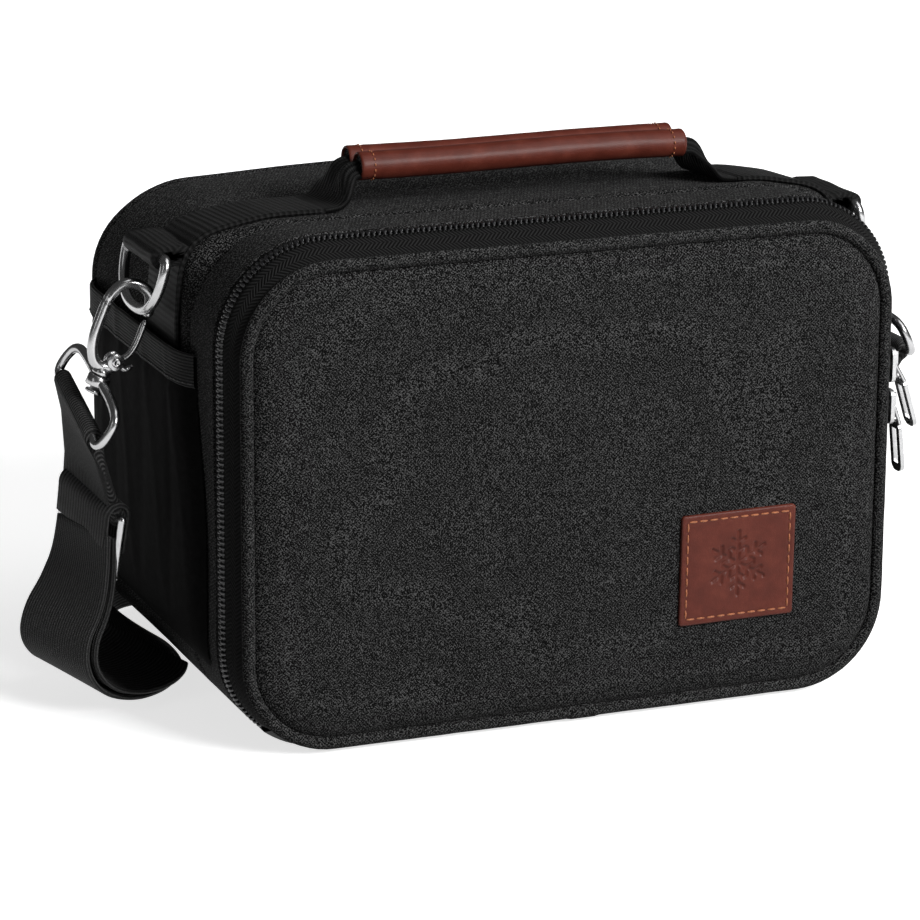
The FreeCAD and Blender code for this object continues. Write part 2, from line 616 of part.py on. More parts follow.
def strap_loop(top, bottom):
    """Doubled webbing sewn flat, with a sleeve round the bar at each end.
    Each end is (middle of the bar, direction across, radius of the bar)."""
    half = WEBBING_WIDE / 2 - 0.5
    down = bottom[0] - top[0]
    sections = []
    sleeves = []
    holes = []
    for point, across, r in (top, bottom):
        across = FreeCAD.Vector(across).normalize()
        side = across * half
        out = across.cross(down).normalize() * WEBBING
        ring = [point + side + out, point + side - out, point - side - out, point - side + out]
        sections.append(Part.makePolygon(ring + [ring[0]]))
        sleeves.append(Part.makeCylinder(r + WEBBING, 2 * half, point - side, across))
        holes.append(Part.makeCylinder(r + 0.25, 2 * half + 4, point - side - across * 2, across))
    body = fuse([Part.makeLoft(sections, True, True)] + sleeves)
    for hole in holes:
        body = body.cut(hole)
    return max(body.Solids, key=lambda s: s.Volume)


def strap_ends():
    place = hook_place()
    for side in ("left", "right"):
        turn = ring_turn(side)
        bar = place.multVec(turn.multVec(V(0, 0, -BASE_RING_DROP)) + V(0, 0, SWIVEL_Z))
        across = place.Rotation.multVec(turn.multVec(V(0, -1, 0)))
        if side == "left":
            low = (ADJUSTER_TOP, ADJUSTER_ACROSS, ADJUSTER_WIRE)
            save("left_strap_loop", strap_loop((bar, across, BASE_RING_WIRE), low))
        else:
            bar = V(-bar.x, bar.y, bar.z)
            low = (STRAP_POINTS[-1][0] + V(0, 0, 4.6), V(0, -1, 0), 0.2)
            save("right_strap_loop", strap_loop((bar, V(0, -1, 0), BASE_RING_WIRE), low))
    adjuster(frame_at(ADJUSTER_TOP, ADJUSTER_ACROSS * -1, ADJUSTER_DOWN))


def adjuster(place):
    """Wire three-bar slide that sets the strap's length."""
    h, t = ADJUSTER_HALF, ADJUSTER_TALL
    bars = [tube_run(V(0, -h, z), V(0, h, z), ADJUSTER_WIRE) for z in (0, -t / 2, -t)]
    sides = [tube_run(V(0, y, 0), V(0, y, -t), ADJUSTER_WIRE) for y in (-h, h)]
    corners = [Part.makeSphere(ADJUSTER_WIRE, V(0, y, z)) for y in (-h, h) for z in (0, -t)]
    frame = fuse(bars + sides + corners)
    frame.Placement = place
    save("strap_adjuster", frame)


body_shell()
body_padding()
flap()
zipper()
hinge_gusset()
pockets()
side_straps()
handle()
rings()
hooks()
sliders()
shoulder_strap()
strap_ends()
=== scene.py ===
"""Looks of a small insulated cooler bag with a zipped front flap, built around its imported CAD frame.

Sizes are in millimetres until a mesh is made. +X is to the right of someone facing the flap,
+Y to the back, +Z up, as in the frame.
"""
import math

import bmesh
import bpy
from mathutils import Matrix, Vector, noise

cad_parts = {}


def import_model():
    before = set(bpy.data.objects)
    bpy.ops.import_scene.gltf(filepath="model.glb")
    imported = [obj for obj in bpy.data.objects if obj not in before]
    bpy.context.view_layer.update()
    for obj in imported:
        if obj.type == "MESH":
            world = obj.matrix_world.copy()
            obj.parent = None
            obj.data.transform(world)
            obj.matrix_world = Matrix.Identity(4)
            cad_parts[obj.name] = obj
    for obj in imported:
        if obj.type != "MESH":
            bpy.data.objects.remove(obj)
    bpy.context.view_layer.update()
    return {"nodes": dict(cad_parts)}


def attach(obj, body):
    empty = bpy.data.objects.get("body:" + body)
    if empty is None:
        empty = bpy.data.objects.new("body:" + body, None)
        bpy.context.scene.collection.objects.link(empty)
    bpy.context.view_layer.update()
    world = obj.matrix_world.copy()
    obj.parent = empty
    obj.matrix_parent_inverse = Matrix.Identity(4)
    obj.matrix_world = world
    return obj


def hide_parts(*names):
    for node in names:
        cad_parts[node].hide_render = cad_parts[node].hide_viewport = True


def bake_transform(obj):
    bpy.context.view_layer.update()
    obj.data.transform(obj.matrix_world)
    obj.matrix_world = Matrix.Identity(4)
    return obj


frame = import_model()
NODES = frame["nodes"]
MM = 0.001

# ---- sizes shared with the frame
BODY_FRONT = dict(y=-78.0, half=140.0, low=0.0, top=200.0, corner=42.0)
BODY_BACK = dict(y=92.0, half=137.4, low=0.0, top=189.0, corner=38.5)
FLAP = dict(half=135.0, low=1.5, top=193.0, corner=37.0)
GUSSET_SEAM_Y, BACK_SEAM_Y, BODY_EDGE_Y, BACK_Y = -42.0, 80.0, -73.0, 92.0
PIPING_Y, PIPING_R = -90.4, 2.6
ZIP_END_Z, ZIP_Y, COIL_Y = 9.0, -79.0, -78.2
FLAP_TAPE_Y, BODY_TAPE_Y, HINGE_Y = (-88.6, -80.9), (-75.6, -72.6), (-88.4, -72.5)  # front and back edges
STRAP_Y, STRAP_HALF = -15.0, 19.0
STRAP_WIDE, STRAP_THICK, WEB_THICK = 2 * STRAP_HALF, 2.0, 1.9
TOP_CORNER = (98.3, 155.2)              # x and z of the middle of the body's rounded top corner
RING_EYE = (-146.0, STRAP_Y, 184.5)     # middle of the left D-ring's bar, in its webbing tab
RING_LEAN = 13.4
HOOK_MIDDLE = (-157.505, STRAP_Y, 154.377)
HOOK_LEAN = 25.0
RING_BELOW_HOOK = 22.0
ADJUSTER_BAR = (-168.3, -12.6, 87.5)
ADJUSTER_ACROSS = (0.22, -0.95, -0.20)
GRIP_X, GRIP_Z = (-63.0, 75.0), 212.5
POCKET_TOP, POCKET_LOW = 151.0, 31.0
POCKET_FRONT_Y, POCKET_BACK_Y = -62.0, 82.0
POCKET_DEEP = 145.0
FACE_Y, FACE_INSET = -90.0, 4.7         # front edge of the flap's padded face, inside the piping

# Middle line of the shoulder strap, and the direction across it at each point.
STRAP_ROUTE = [
    ((-172.9, -13.0, 77.0), (0.22, -0.95, -0.20)),
    ((-174.2, -13.2, 63.0), (0.25, -0.93, -0.25)),
    ((-178.5, -13.5, 49.5), (0.33, -0.91, -0.24)),
    ((-185.0, -13.5, 38.0), (0.42, -0.89, -0.20)),
    ((-186.0, -12.5, 25.5), (0.47, -0.86, -0.20)),
    ((-178.5, -8.5, 15.0), (0.54, -0.79, -0.26)),
    ((-166.5, -0.5, 9.6), (0.62, -0.72, -0.30)),
    ((-151.0, 9.5, 8.6), (0.74, -0.56, -0.38)),
    ((-138.5, 23.0, 10.6), (0.84, -0.30, -0.46)),
    ((-135.0, 44.0, 12.2), (0.85, -0.08, -0.52)),
    ((-138.5, 66.0, 14.6), (0.77, 0.06, -0.63)),
    ((-139.5, 86.0, 17.6), (0.54, 0.20, -0.81)),
    ((-130.0, 101.5, 20.0), (0.20, 0.16, -0.95)),
    ((-112.0, 107.0, 20.6), (0.0, 0.12, -0.99)),
    ((-78.0, 104.5, 20.6), (0.0, 0.12, -0.99)),
    ((-36.0, 103.5, 20.6), (0.0, 0.10, -0.99)),
    ((10.0, 105.0, 20.6), (0.0, 0.12, -0.99)),
    ((56.0, 103.5, 20.6), (0.0, 0.10, -0.99)),
    ((100.0, 105.5, 20.6), (0.0, 0.12, -0.99)),
    ((128.0, 102.0, 20.6), (0.0, 0.12, -0.99)),
    ((149.5, 87.0, 21.0), (0.10, 0.05, -0.98)),
    ((156.0, 62.0, 22.8), (0.10, -0.16, -0.97)),
    ((157.5, 34.0, 29.0), (0.05, -0.42, -0.90)),
    ((159.5, 11.0, 43.0), (0.0, -0.74, -0.66)),
    ((162.0, -4.0, 63.0), (0.0, -0.93, -0.36)),
    ((163.5, -11.0, 84.0), (0.0, -0.99, -0.12)),
    ((164.5, -13.0, 103.0), (0.0, -1.0, 0.0)),
]


# ---- small sums
def smooth(a, b, v):
    """0 below a, 1 above b, eased between."""
    t = min(1.0, max(0.0, (v - a) / (b - a)))
    return t * t * (3 - 2 * t)


def bump_at(v, middle, width):
    return math.exp(-((v - middle) / width) ** 2)


def rough(x, y, z, size, seed=0.0):
    """Smooth noise from -1 to 1 with lumps of about the given size."""
    return noise.noise(Vector((x / size + seed, y / size - seed, z / size + 0.5 * seed)))


def mix(a, b, t):
    return a + (b - a) * t


def turns(count):
    """Angles that divide a full turn evenly."""
    return [2 * math.pi * k / count for k in range(count)]


# ---- meshes
def linked(name, data):
    """New object in the scene."""
    obj = bpy.data.objects.new(name, data)
    bpy.context.scene.collection.objects.link(obj)
    return obj


def mesh_object(name, points, faces, uvs=None, material=None):
    mesh = bpy.data.meshes.new(name)
    mesh.from_pydata([tuple(c * MM for c in p) for p in points], [], faces)
    if uvs:
        layer = mesh.uv_layers.new(name="UVMap")
        layer.data.foreach_set("uv", [c for uv in uvs for c in uv])
    mesh.validate()
    mesh.update()
    mesh.shade_smooth()
    if material:
        mesh.materials.append(material)
    return linked(name, mesh)


def grid_data(rows, loop=False, start=0, turn=False):
    """Faces and UVs, in centimetres, for rows of points; loop joins each row's end to its start."""
    n = len(rows[0])
    middle = rows[len(rows) // 2]
    along = [0.0]
    for i in range(n if loop else n - 1):
        along.append(along[-1] + (Vector(middle[(i + 1) % n]) - Vector(middle[i])).length * 0.1)
    across = [0.0]
    for a, b in zip(rows, rows[1:]):
        step = sum((Vector(p) - Vector(q)).length for p, q in zip(a[::8], b[::8])) / len(a[::8])
        across.append(across[-1] + step * 0.1)
    faces, uvs = [], []
    for r in range(len(rows) - 1):
        for i in range(n if loop else n - 1):
            j = (i + 1) % n
            face = [(r, i), (r, j), (r + 1, j), (r + 1, i)]
            uv = [(along[i], across[r]), (along[i + 1], across[r]),
                  (along[i + 1], across[r + 1]), (along[i], across[r + 1])]
            if turn:
                face.reverse()
                uv.reverse()
            faces.append([start + a * n + b for a, b in face])
            uvs += uv
    return faces, uvs


def grid(name, rows, material, loop=False, turn=False, cap=False):
    """Mesh through rows of points. cap closes the last row with one face."""
    faces, uvs = grid_data(rows, loop, 0, turn)
    points = [p for row in rows for p in row]
    if cap:
        n = len(rows[0])
        last = [len(points) - n + i for i in range(n)]
        faces.append(last[::-1] if turn else last)
        uvs += [(points[i][0] * 0.1, points[i][2] * 0.1) for i in faces[-1]]
    return mesh_object(name, points, faces, uvs, material)


def ring_faces(base, rings, sides):
    """Faces between rings of points that start at number base and follow one another."""
    return [[base + s * sides + k, base + s * sides + (k + 1) % sides,
             base + (s + 1) * sides + (k + 1) % sides, base + (s + 1) * sides + k]
            for s in range(rings - 1) for k in range(sides)]


def joined(name, parts, material):
    """One mesh from several tubes, each given as its rings of points."""
    points, faces, uvs = [], [], []
    for rows in parts:
        f, u = grid_data(rows, True, len(points))
        points += [p for row in rows for p in row]
        faces += f
        uvs += u
    return mesh_object(name, points, faces, uvs, material)


def outward(obj):
    """Turns every face of a closed or nearly closed mesh to the outside."""
    work = bmesh.new()
    work.from_mesh(obj.data)
    bmesh.ops.recalc_face_normals(work, faces=work.faces)
    work.to_mesh(obj.data)
    work.free()
    return obj


def dressed(obj, body, slot, *nodes):
    """Gives the piece its body and hides the CAD nodes that it replaces; the slot argument is not used."""
    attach(obj, body)
    if nodes:
        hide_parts(*nodes)
    return obj


# ---- outlines
ALONG_X, ALONG_Z, ROUND = 44, 28, 16


def outline(half, low, top, corner, inset=0.0):
    """Points round a rounded rectangle as (x, z, out x, out z), from the bottom middle to the right."""
    corner = max(corner - inset, 1.5)
    half, low, top = half - inset, low + inset, top - inset
    inner, up, down = half - corner, top - corner, low + corner
    steps = ALONG_X // 2
    pts = [(inner * i / steps, low, 0.0, -1.0) for i in range(steps)]

    def arc(cx, cz, first):
        for i in range(ROUND):
            a = math.radians(first + 90.0 * i / ROUND)
            c, s = math.cos(a), math.sin(a)
            pts.append((cx + corner * c, cz + corner * s, c, s))

    arc(inner, down, -90)
    pts += [(half, mix(down, up, i / ALONG_Z), 1.0, 0.0) for i in range(ALONG_Z)]
    arc(inner, up, 0)
    pts += [(mix(inner, -inner, i / ALONG_X), top, 0.0, 1.0) for i in range(ALONG_X)]
    arc(-inner, up, 90)
    pts += [(-half, mix(up, down, i / ALONG_Z), -1.0, 0.0) for i in range(ALONG_Z)]
    arc(-inner, down, 180)
    pts += [(mix(-inner, 0.0, i / steps), low, 0.0, -1.0) for i in range(steps)]
    return pts


def body_sizes(y):
    """The body's half width, foot, top and corner radius at depth y."""
    s = (y - BODY_FRONT["y"]) / (BODY_BACK["y"] - BODY_FRONT["y"])
    return {k: mix(BODY_FRONT[k], BODY_BACK[k], s) for k in ("half", "low", "top", "corner")}


def body_outline(y, inset=0.0):
    return outline(inset=inset, **body_sizes(y))


def flap_outline(inset=0.0):
    return outline(inset=inset, **FLAP)


def row_at(points, y, push=None):
    """Row of a mesh: the outline's points at depth y, each moved outwards by push(x, y, z)."""
    row = []
    for x, z, nx, nz in points:
        d = push(x, y, z) if push else 0.0
        row.append((x + nx * d, y, z + nz * d))
    return row


def corner_turn(x, z):
    """Direction from the middle of the body's top corner, in degrees up from level."""
    return math.degrees(math.atan2(z - TOP_CORNER[1], abs(x) - TOP_CORNER[0]))


def strap_stand(turn):
    """How far the handle webbing is held off the body's corner by the ring tab under it."""
    return 6.5 * bump_at(turn, 42.0, 20.0)


def under_strap(y, z):
    """1 where the handle webbing lies on the body, so that the canvas stays flat there."""
    return (1 - smooth(20.0, 27.0, abs(y - STRAP_Y))) * smooth(55.0, 68.0, z)


# ---- materials
FUZZ = dict(Sheen_Weight=0.02, Sheen_Roughness=0.4)


def set_inputs(node, **values):
    """Sets a shader node's inputs; an underscore stands for a space in an input's name."""
    for key, value in values.items():
        node.inputs[key.replace("_", " ")].default_value = value


class Material:
    """Short way to wire up one material."""

    def __init__(self, name, base, roughness, metallic=0.0, **inputs):
        self.mat = bpy.data.materials.new(name)
        self.mat.use_nodes = True
        self.tree = self.mat.node_tree
        self.shader = self.tree.nodes["Principled BSDF"]
        set_inputs(self.shader, Base_Color=(*base, 1.0), Roughness=roughness, Metallic=metallic, **inputs)

    def add(self, kind, links=(), props=(), **values):
        node = self.tree.nodes.new("ShaderNode" + kind)
        for key, value in dict(props).items():
            setattr(node, key, value)
        set_inputs(node, **values)
        for key, source in dict(links).items():
            self.link(source, node.inputs[key])
        return node

    def link(self, source, socket):
        self.tree.links.new(source, socket)

    def coords(self, where="UV", scale=(1.0, 1.0, 1.0), turn=0.0):
        source = self.add("TexCoord").outputs[where]
        place = self.add("Mapping", {"Vector": source}, Scale=scale, Rotation=(0.0, 0.0, turn))
        return place.outputs["Vector"]

    def cloth(self, turn=0.0):
        """UVs in millimetres, turned by an angle in radians."""
        return self.coords(scale=(10.0, 10.0, 1.0), turn=turn)

    def noise(self, where, scale, detail=3.0, roughness=0.55):
        node = self.add("TexNoise", {"Vector": where}, Scale=scale, Detail=detail, Roughness=roughness)
        return node.outputs["Fac"]

    def wave(self, where, scale, distortion=0.0, direction="X"):
        node = self.add("TexWave", {"Vector": where}, {"bands_direction": direction, "wave_type": "BANDS"},
                        Scale=scale, Distortion=distortion, Detail=1.0)
        return node.outputs["Fac"]

    def math(self, operation, a, b):
        node = self.add("Math", props={"operation": operation})
        for socket, value in zip(node.inputs, (a, b)):
            if isinstance(value, (int, float)):
                socket.default_value = value
            else:
                self.link(value, socket)
        return node.outputs[0]

    def weighed(self, a, share_a, b, share_b):
        """Sum of two values, each times its share."""
        return self.math("ADD", self.math("MULTIPLY", a, share_a), self.math("MULTIPLY", b, share_b))

    def ramp(self, source, stops):
        node = self.add("ValToRGB", {"Fac": source})
        items = node.color_ramp.elements
        while len(items) < len(stops):
            items.new(0.5)
        for item, (place, colour) in zip(items, stops):
            item.position = place
            item.color = (*colour, 1.0) if isinstance(colour, tuple) else (colour, colour, colour, 1.0)
        return node.outputs["Color"]

    def colour(self, source):
        self.link(source, self.shader.inputs["Base Color"])

    def roughness(self, source, low, high):
        node = self.add("MapRange", {"Value": source}, To_Min=low, To_Max=high)
        self.link(node.outputs["Result"], self.shader.inputs["Roughness"])

    def made(self, value, stops, relief, depth, strength):
        """The material, coloured by a ramp of value, with relief of the given depth in millimetres."""
        self.colour(self.ramp(value, stops))
        node = self.add("Bump", {"Height": relief}, Strength=strength, Distance=depth * MM)
        self.link(node.outputs["Normal"], self.shader.inputs["Normal"])
        return self.mat


def canvas_material(name, light=1.0, speckle=1.0):
    """Charcoal melange twill: pale fibres scattered over nearly black yarn."""
    m = Material(name, (0.02, 0.02, 0.02), 0.85, Specular_IOR_Level=0.06, **FUZZ)
    warp = m.noise(m.coords("Object", (1700.0, 800.0, 3300.0)), 1.0, 0.0)
    weft = m.noise(m.coords("Object", (3300.0, 1500.0, 1700.0)), 1.0, 0.0)
    twill = m.wave(m.coords("Object", (1.0, 0.5, 1.0)), 440.0, 0.4, "DIAGONAL")
    cross = m.wave(m.coords("Object", (-1.0, 0.5, 1.0)), 440.0, 0.4, "DIAGONAL")
    lines = m.math("SUBTRACT", m.math("MULTIPLY", m.math("ADD", twill, cross), 0.07), 0.07)
    fibres = m.math("ADD", m.math("MAXIMUM", warp, weft), lines)
    clouds = m.noise(m.coords("Object", (30.0, 30.0, 30.0)), 1.0, 2.0)
    spread = m.math("ADD", fibres, m.math("MULTIPLY", m.math("SUBTRACT", clouds, 0.5), 0.03))
    low, mid, high = 0.0006 * light, 0.0052 * light, 0.092 * light
    stops = [(0.46, low), (0.55, mix(mid, low, 0.6 * speckle)), (0.62, mid * (1 + 0.7 * speckle)),
             (0.72, mix(mid, high, speckle))]
    return m.made(spread, stops, fibres, 0.25, 0.9)


def stretch_material():
    m = Material("stretch_fabric", (0.009, 0.009, 0.0095), 0.75, Specular_IOR_Level=0.015)
    knit = m.wave(m.cloth(), 0.55, 0.5)
    cross = m.wave(m.cloth(), 0.5, 0.5, "Y")
    cloud = m.noise(m.coords(), 2.5)
    return m.made(cloud, [(0.3, 0.0034), (0.7, 0.0070)], m.math("MULTIPLY", knit, cross), 0.1, 0.8)


def webbing_material(name, along, colour=0.016):
    """Woven tape; along makes its ribs run with the strap instead of across it."""
    m = Material(name, (colour, colour, colour), 0.62, Specular_IOR_Level=0.10, **FUZZ)
    where = m.cloth()
    ribs = m.wave(where, 0.25 if along else 0.13, 0.5, "Y" if along else "X")
    weave = m.wave(where, 0.45, 0.8, "X" if along else "Y")
    fuzz = m.noise(m.coords(scale=(14.0, 14.0, 1.0)), 1.0, 2.0)
    stops = [(0.25, colour * 0.25), (0.55, colour), (0.80, colour * 2.6)]
    relief = m.math("ADD", ribs, m.math("MULTIPLY", weave, 0.5))
    return m.made(m.weighed(ribs, 0.45, fuzz, 0.6), stops, relief, 0.3, 0.9)


def band_material():
    """Elastic with fine ribs along its length."""
    m = Material("elastic_band", (0.012, 0.012, 0.012), 0.7, Specular_IOR_Level=0.07, **FUZZ)
    ribs = m.wave(m.cloth(), 0.26, 0.3, "Y")
    fuzz = m.noise(m.coords(scale=(12.0, 12.0, 1.0)), 1.0, 2.0)
    return m.made(m.weighed(ribs, 0.6, fuzz, 0.4), [(0.2, 0.010), (0.8, 0.062)], ribs, 0.25, 0.9)


def tape_material():
    """Zipper tape in a fine herringbone."""
    m = Material("zip_tape", (0.008, 0.008, 0.008), 0.75, Specular_IOR_Level=0.05)
    right, left = (m.wave(m.cloth(turn), 0.27, 0.2) for turn in (0.8, -0.8))
    pick = m.math("GREATER_THAN", m.wave(m.cloth(), 0.062, 0.0, "Y"), 0.5)
    woven = m.weighed(right, pick, left, m.math("SUBTRACT", 1.0, pick))
    return m.made(woven, [(0.2, 0.0035), (0.9, 0.018)], woven, 0.3, 0.9)


def coil_material():
    m = Material("zip_teeth", (0.007, 0.007, 0.008), 0.34, Specular_IOR_Level=0.5)
    m.roughness(m.noise(m.coords("Object"), 900.0), 0.26, 0.5)
    return m.mat


def leather_material():
    """Pull-up leather: a fine pebble and cloudy colour."""
    m = Material("leather", (0.10, 0.021, 0.013), 0.44, Specular_IOR_Level=0.17)
    fine = m.coords(scale=(10.0, 10.0, 10.0))
    pebble = m.add("TexVoronoi", {"Vector": fine}, {"feature": "DISTANCE_TO_EDGE"}, Scale=0.85)
    grain = m.ramp(pebble.outputs["Distance"], [(0.0, 0.0), (0.16, 1.0)])
    cloud = m.noise(m.coords(scale=(1.1, 1.1, 1.1)), 1.0, 4.0, 0.6)
    pores = m.noise(fine, 2.2, 3.0)
    m.roughness(pores, 0.30, 0.50)
    stops = [(0.30, (0.070, 0.014, 0.0085)), (0.52, (0.100, 0.021, 0.0130)), (0.72, (0.140, 0.034, 0.0210))]
    relief = m.math("ADD", m.math("MULTIPLY", grain, 0.5), pores)
    return m.made(m.weighed(cloud, 0.75, pores, 0.25), stops, relief, 0.05, 0.7)


def thread_material(name, colour):
    m = Material(name, colour, 0.6, Sheen_Weight=0.1)
    twist = m.noise(m.coords("Object"), 1500.0, 2.0)
    dark, pale = tuple(c * 0.6 for c in colour), tuple(c * 1.3 for c in colour)
    return m.made(twist, [(0.3, dark), (0.7, pale)], twist, 0.1, 0.6)


def metal_material(name, base, low, high, size):
    m = Material(name, base, low, 1.0)
    cloud = m.noise(m.coords("Object"), size, 4.0)
    m.roughness(cloud, low, high)
    return m.made(cloud, [(0.3, tuple(c * 0.82 for c in base)), (0.7, base)], cloud, 0.012, 0.3)


def lining_material():
    """Wipe-clean silver-grey sheet with shallow creases."""
    m = Material("lining", (0.55, 0.56, 0.57), 0.32, 0.25)
    crease = m.noise(m.coords("Object"), 45.0, 5.0, 0.6)
    fine = m.noise(m.coords("Object"), 700.0, 2.0)
    m.roughness(fine, 0.25, 0.42)
    relief = m.math("ADD", crease, m.math("MULTIPLY", fine, 0.08))
    return m.made(crease, [(0.3, (0.44, 0.45, 0.46)), (0.7, (0.60, 0.61, 0.62))], relief, 1.6, 0.7)


def foam_material():
    m = Material("foam", (0.78, 0.78, 0.75), 0.8)
    cells = m.add("TexVoronoi", {"Vector": m.coords("Object")}, Scale=900.0).outputs["Distance"]
    return m.made(cells, [(0.1, (0.66, 0.66, 0.63)), (0.6, (0.80, 0.80, 0.77))], cells, 0.3, 0.6)


CANVAS = canvas_material("canvas")
PLAIN_CANVAS = canvas_material("canvas_binding", 1.25, 0.85)
STRETCH = stretch_material()
HANDLE_WEB = webbing_material("handle_webbing", False, 0.0055)
STRAP_WEB = webbing_material("strap_webbing", True, 0.036)
ELASTIC = band_material()
TAPE = tape_material()
COIL = coil_material()
LEATHER = leather_material()
THREAD = thread_material("tan_thread", (0.36, 0.115, 0.040))
DARK_THREAD = thread_material("black_thread", (0.016, 0.016, 0.016))
CHROME = metal_material("chrome_hardware", (0.47, 0.47, 0.475), 0.20, 0.30, 140.0)
NICKEL = metal_material("slider_metal", (0.46, 0.46, 0.465), 0.2, 0.36, 400.0)
LINING = lining_material()
FOAM = foam_material()


# ---- camera, floor and light
CAMERA_TURN = (-22.05, 15.8, 0.4)       # round the bag, up and roll, in degrees
CAMERA_TARGET = Vector((-10.61, 0.0, 83.47))
CAMERA_AWAY = 1.63339                   # metres


def camera():
    az, el, roll = (math.radians(v) for v in CAMERA_TURN)
    turn = Matrix.Identity(4)
    for angle, axis in ((az, "Z"), (math.pi / 2 - el, "X"), (roll, "Z")):
        turn = turn @ Matrix.Rotation(angle, 4, axis)
    data = bpy.data.cameras.new("camera")
    data.sensor_width = 36.0
    data.lens = 158.1
    data.clip_end = 50.0
    obj = linked("camera", data)
    away = Matrix.Translation((0.0, 0.0, CAMERA_AWAY))
    obj.matrix_world = Matrix.Translation(CAMERA_TARGET * MM) @ turn @ away
    bpy.context.scene.camera = obj


def floor():
    side = 9000.0
    rows = [[(-side, y, -0.3), (side, y, -0.3)] for y in (-side, side)]
    m = Material("floor_painted_glow_and_shade", (0.93, 0.93, 0.93), 0.9)
    m.colour(m.ramp(m.noise(m.coords("Object"), 3.0), [(0.2, 0.92), (0.8, 0.935)]))
    # Painted light: the floor glows by its own emission, which grows with distance from the bag, so the floor
    # round the bag is painted darker as a painted shadow and the floor further off glows white.
    away = m.add("VectorMath", {0: m.coords("Object")}, {"operation": "LENGTH"})
    reach = m.add("MapRange", {"Value": away.outputs["Value"]},
                  From_Min=0.45, From_Max=1.2, To_Min=0.70, To_Max=1.1)
    set_inputs(m.shader, Emission_Color=(1.0, 1.0, 1.0, 1.0))
    m.link(reach.outputs["Result"], m.shader.inputs["Emission Strength"])
    obj = grid("floor", rows, m.mat)
    obj.visible_diffuse = False


def area_light(name, place, target, size, power):
    data = bpy.data.lights.new(name, "AREA")
    data.shape = "RECTANGLE"
    data.size, data.size_y = size
    data.energy = power
    obj = linked(name, data)
    obj.location = place
    obj.rotation_euler = (Vector(place) - Vector(target)).to_track_quat("Z", "Y").to_euler()


def lights():
    world = bpy.data.worlds.new("studio")
    world.use_nodes = True
    set_inputs(world.node_tree.nodes["Background"], Color=(1.0, 1.0, 1.0, 1.0), Strength=0.07)
    bpy.context.scene.world = world
    bpy.context.scene.view_settings.view_transform = "Standard"
    area_light("overhead", (0.8, -0.7, 2.0), (0.0, 0.0, 0.0), (1.5, 1.5), 15.0)
    area_light("front", (1.0, -2.1, 1.35), (0.0, 0.0, 0.1), (1.1, 0.9), 74.0)
    area_light("left_rim", (-1.7, -0.7, 0.8), (0.0, 0.0, 0.1), (0.25, 0.9), 1.6)


# ---- shoulder strap
def evaluated(points, name):
    """Points along the smooth spline that has the given points as its control points."""
    data = bpy.data.curves.new(name, "CURVE")
    data.dimensions = "3D"
    spline = data.splines.new("NURBS")
    spline.points.add(len(points) - 1)
    for slot, p in zip(spline.points, points):
        slot.co = (*p, 1.0)
    spline.order_u = 3
    spline.use_endpoint_u = True
    spline.resolution_u = 12
    obj = linked(name, data)
    mesh = bpy.data.meshes.new_from_object(obj)
    out = [v.co.copy() for v in mesh.vertices]
    bpy.data.objects.remove(obj)
    bpy.data.curves.remove(data)
    bpy.data.meshes.remove(mesh)
    return out


def tape_profile(wide, thick, count=22):
    """Section of a woven tape as (across, up), with soft edges; closed."""
    half, t = wide / 2, thick / 2
    edge = [(half - t * 0.7, t), (half - t * 0.2, t * 0.75), (half, 0.0), (half - t * 0.2, -t * 0.75)]
    top = [(mix(-half + t, half - t, i / count), t) for i in range(count)]
    low = [(-a, -u) for a, u in top]
    other = [(-a, -u) for a, u in edge]
    return top + edge + low + other


def square_to(side, along):
    """The direction side, made square to along."""
    return (side - along * side.dot(along)).normalized()


def ribbon(name, line, across, wide, thick, material, waves=None):
    """Flat tape along line, closed at its ends. across is the direction of its width at each point."""
    profile = tape_profile(wide, thick)
    rows = []
    for i, (p, side) in enumerate(zip(line, across)):
        ahead = (line[min(i + 1, len(line) - 1)] - line[max(i - 1, 0)]).normalized()
        side = square_to(side, ahead)
        up = ahead.cross(side).normalized()
        rows.append([p + side * a + up * (u + (waves(i, a) if waves else 0.0)) for a, u in profile])
    n = len(profile)
    rows = [[sum(rows[0], Vector()) / n] * n] + rows + [[sum(rows[-1], Vector()) / n] * n]
    faces, uvs = grid_data([list(r) for r in zip(*rows)] + [[r[0] for r in rows]])
    points = [p for row in rows for p in row]
    remap = [[(v % len(rows)) * n + (v // len(rows)) % n for v in f] for f in faces]
    return outward(mesh_object(name, points, remap, uvs, material))


def strap_line():
    """Middle line of the strap and the direction across it at each point."""
    points = [Vector(p) for p, _ in STRAP_ROUTE]
    edges = [Vector(p) + Vector(a).normalized() * STRAP_HALF for p, a in STRAP_ROUTE]
    line = evaluated(points, "strap_line")
    rim = evaluated(edges, "strap_rim")
    return line, [(b - a).normalized() for a, b in zip(line, rim)]


def shoulder_strap():
    """The strap, the second layer inside its lower bend, and the strap's middle line."""
    line, across = strap_line()
    strap = ribbon("shoulder_strap_webbing", line, across, STRAP_WIDE, STRAP_THICK, STRAP_WEB,
                   lambda i, a: 0.25 * rough(i * 4.0, a, 0.0, 40.0, 3.0))
    dressed(strap, "root", "webbing", "shoulder_strap")
    count = len(line) * 8 // 26
    under = []
    for i in range(count):
        up = (line[i + 1] - line[max(i - 1, 0)]).normalized().cross(across[i]).normalized()
        near = 2.35 + 1.0 * math.sin(math.pi * i / (count - 1))
        under.append(line[i] - up * near + across[i] * 2.2)
    inner = ribbon("strap_inner_layer", under, across[:count], 36.5, WEB_THICK, STRAP_WEB)
    dressed(inner, "root", "webbing")
    return strap, inner, line


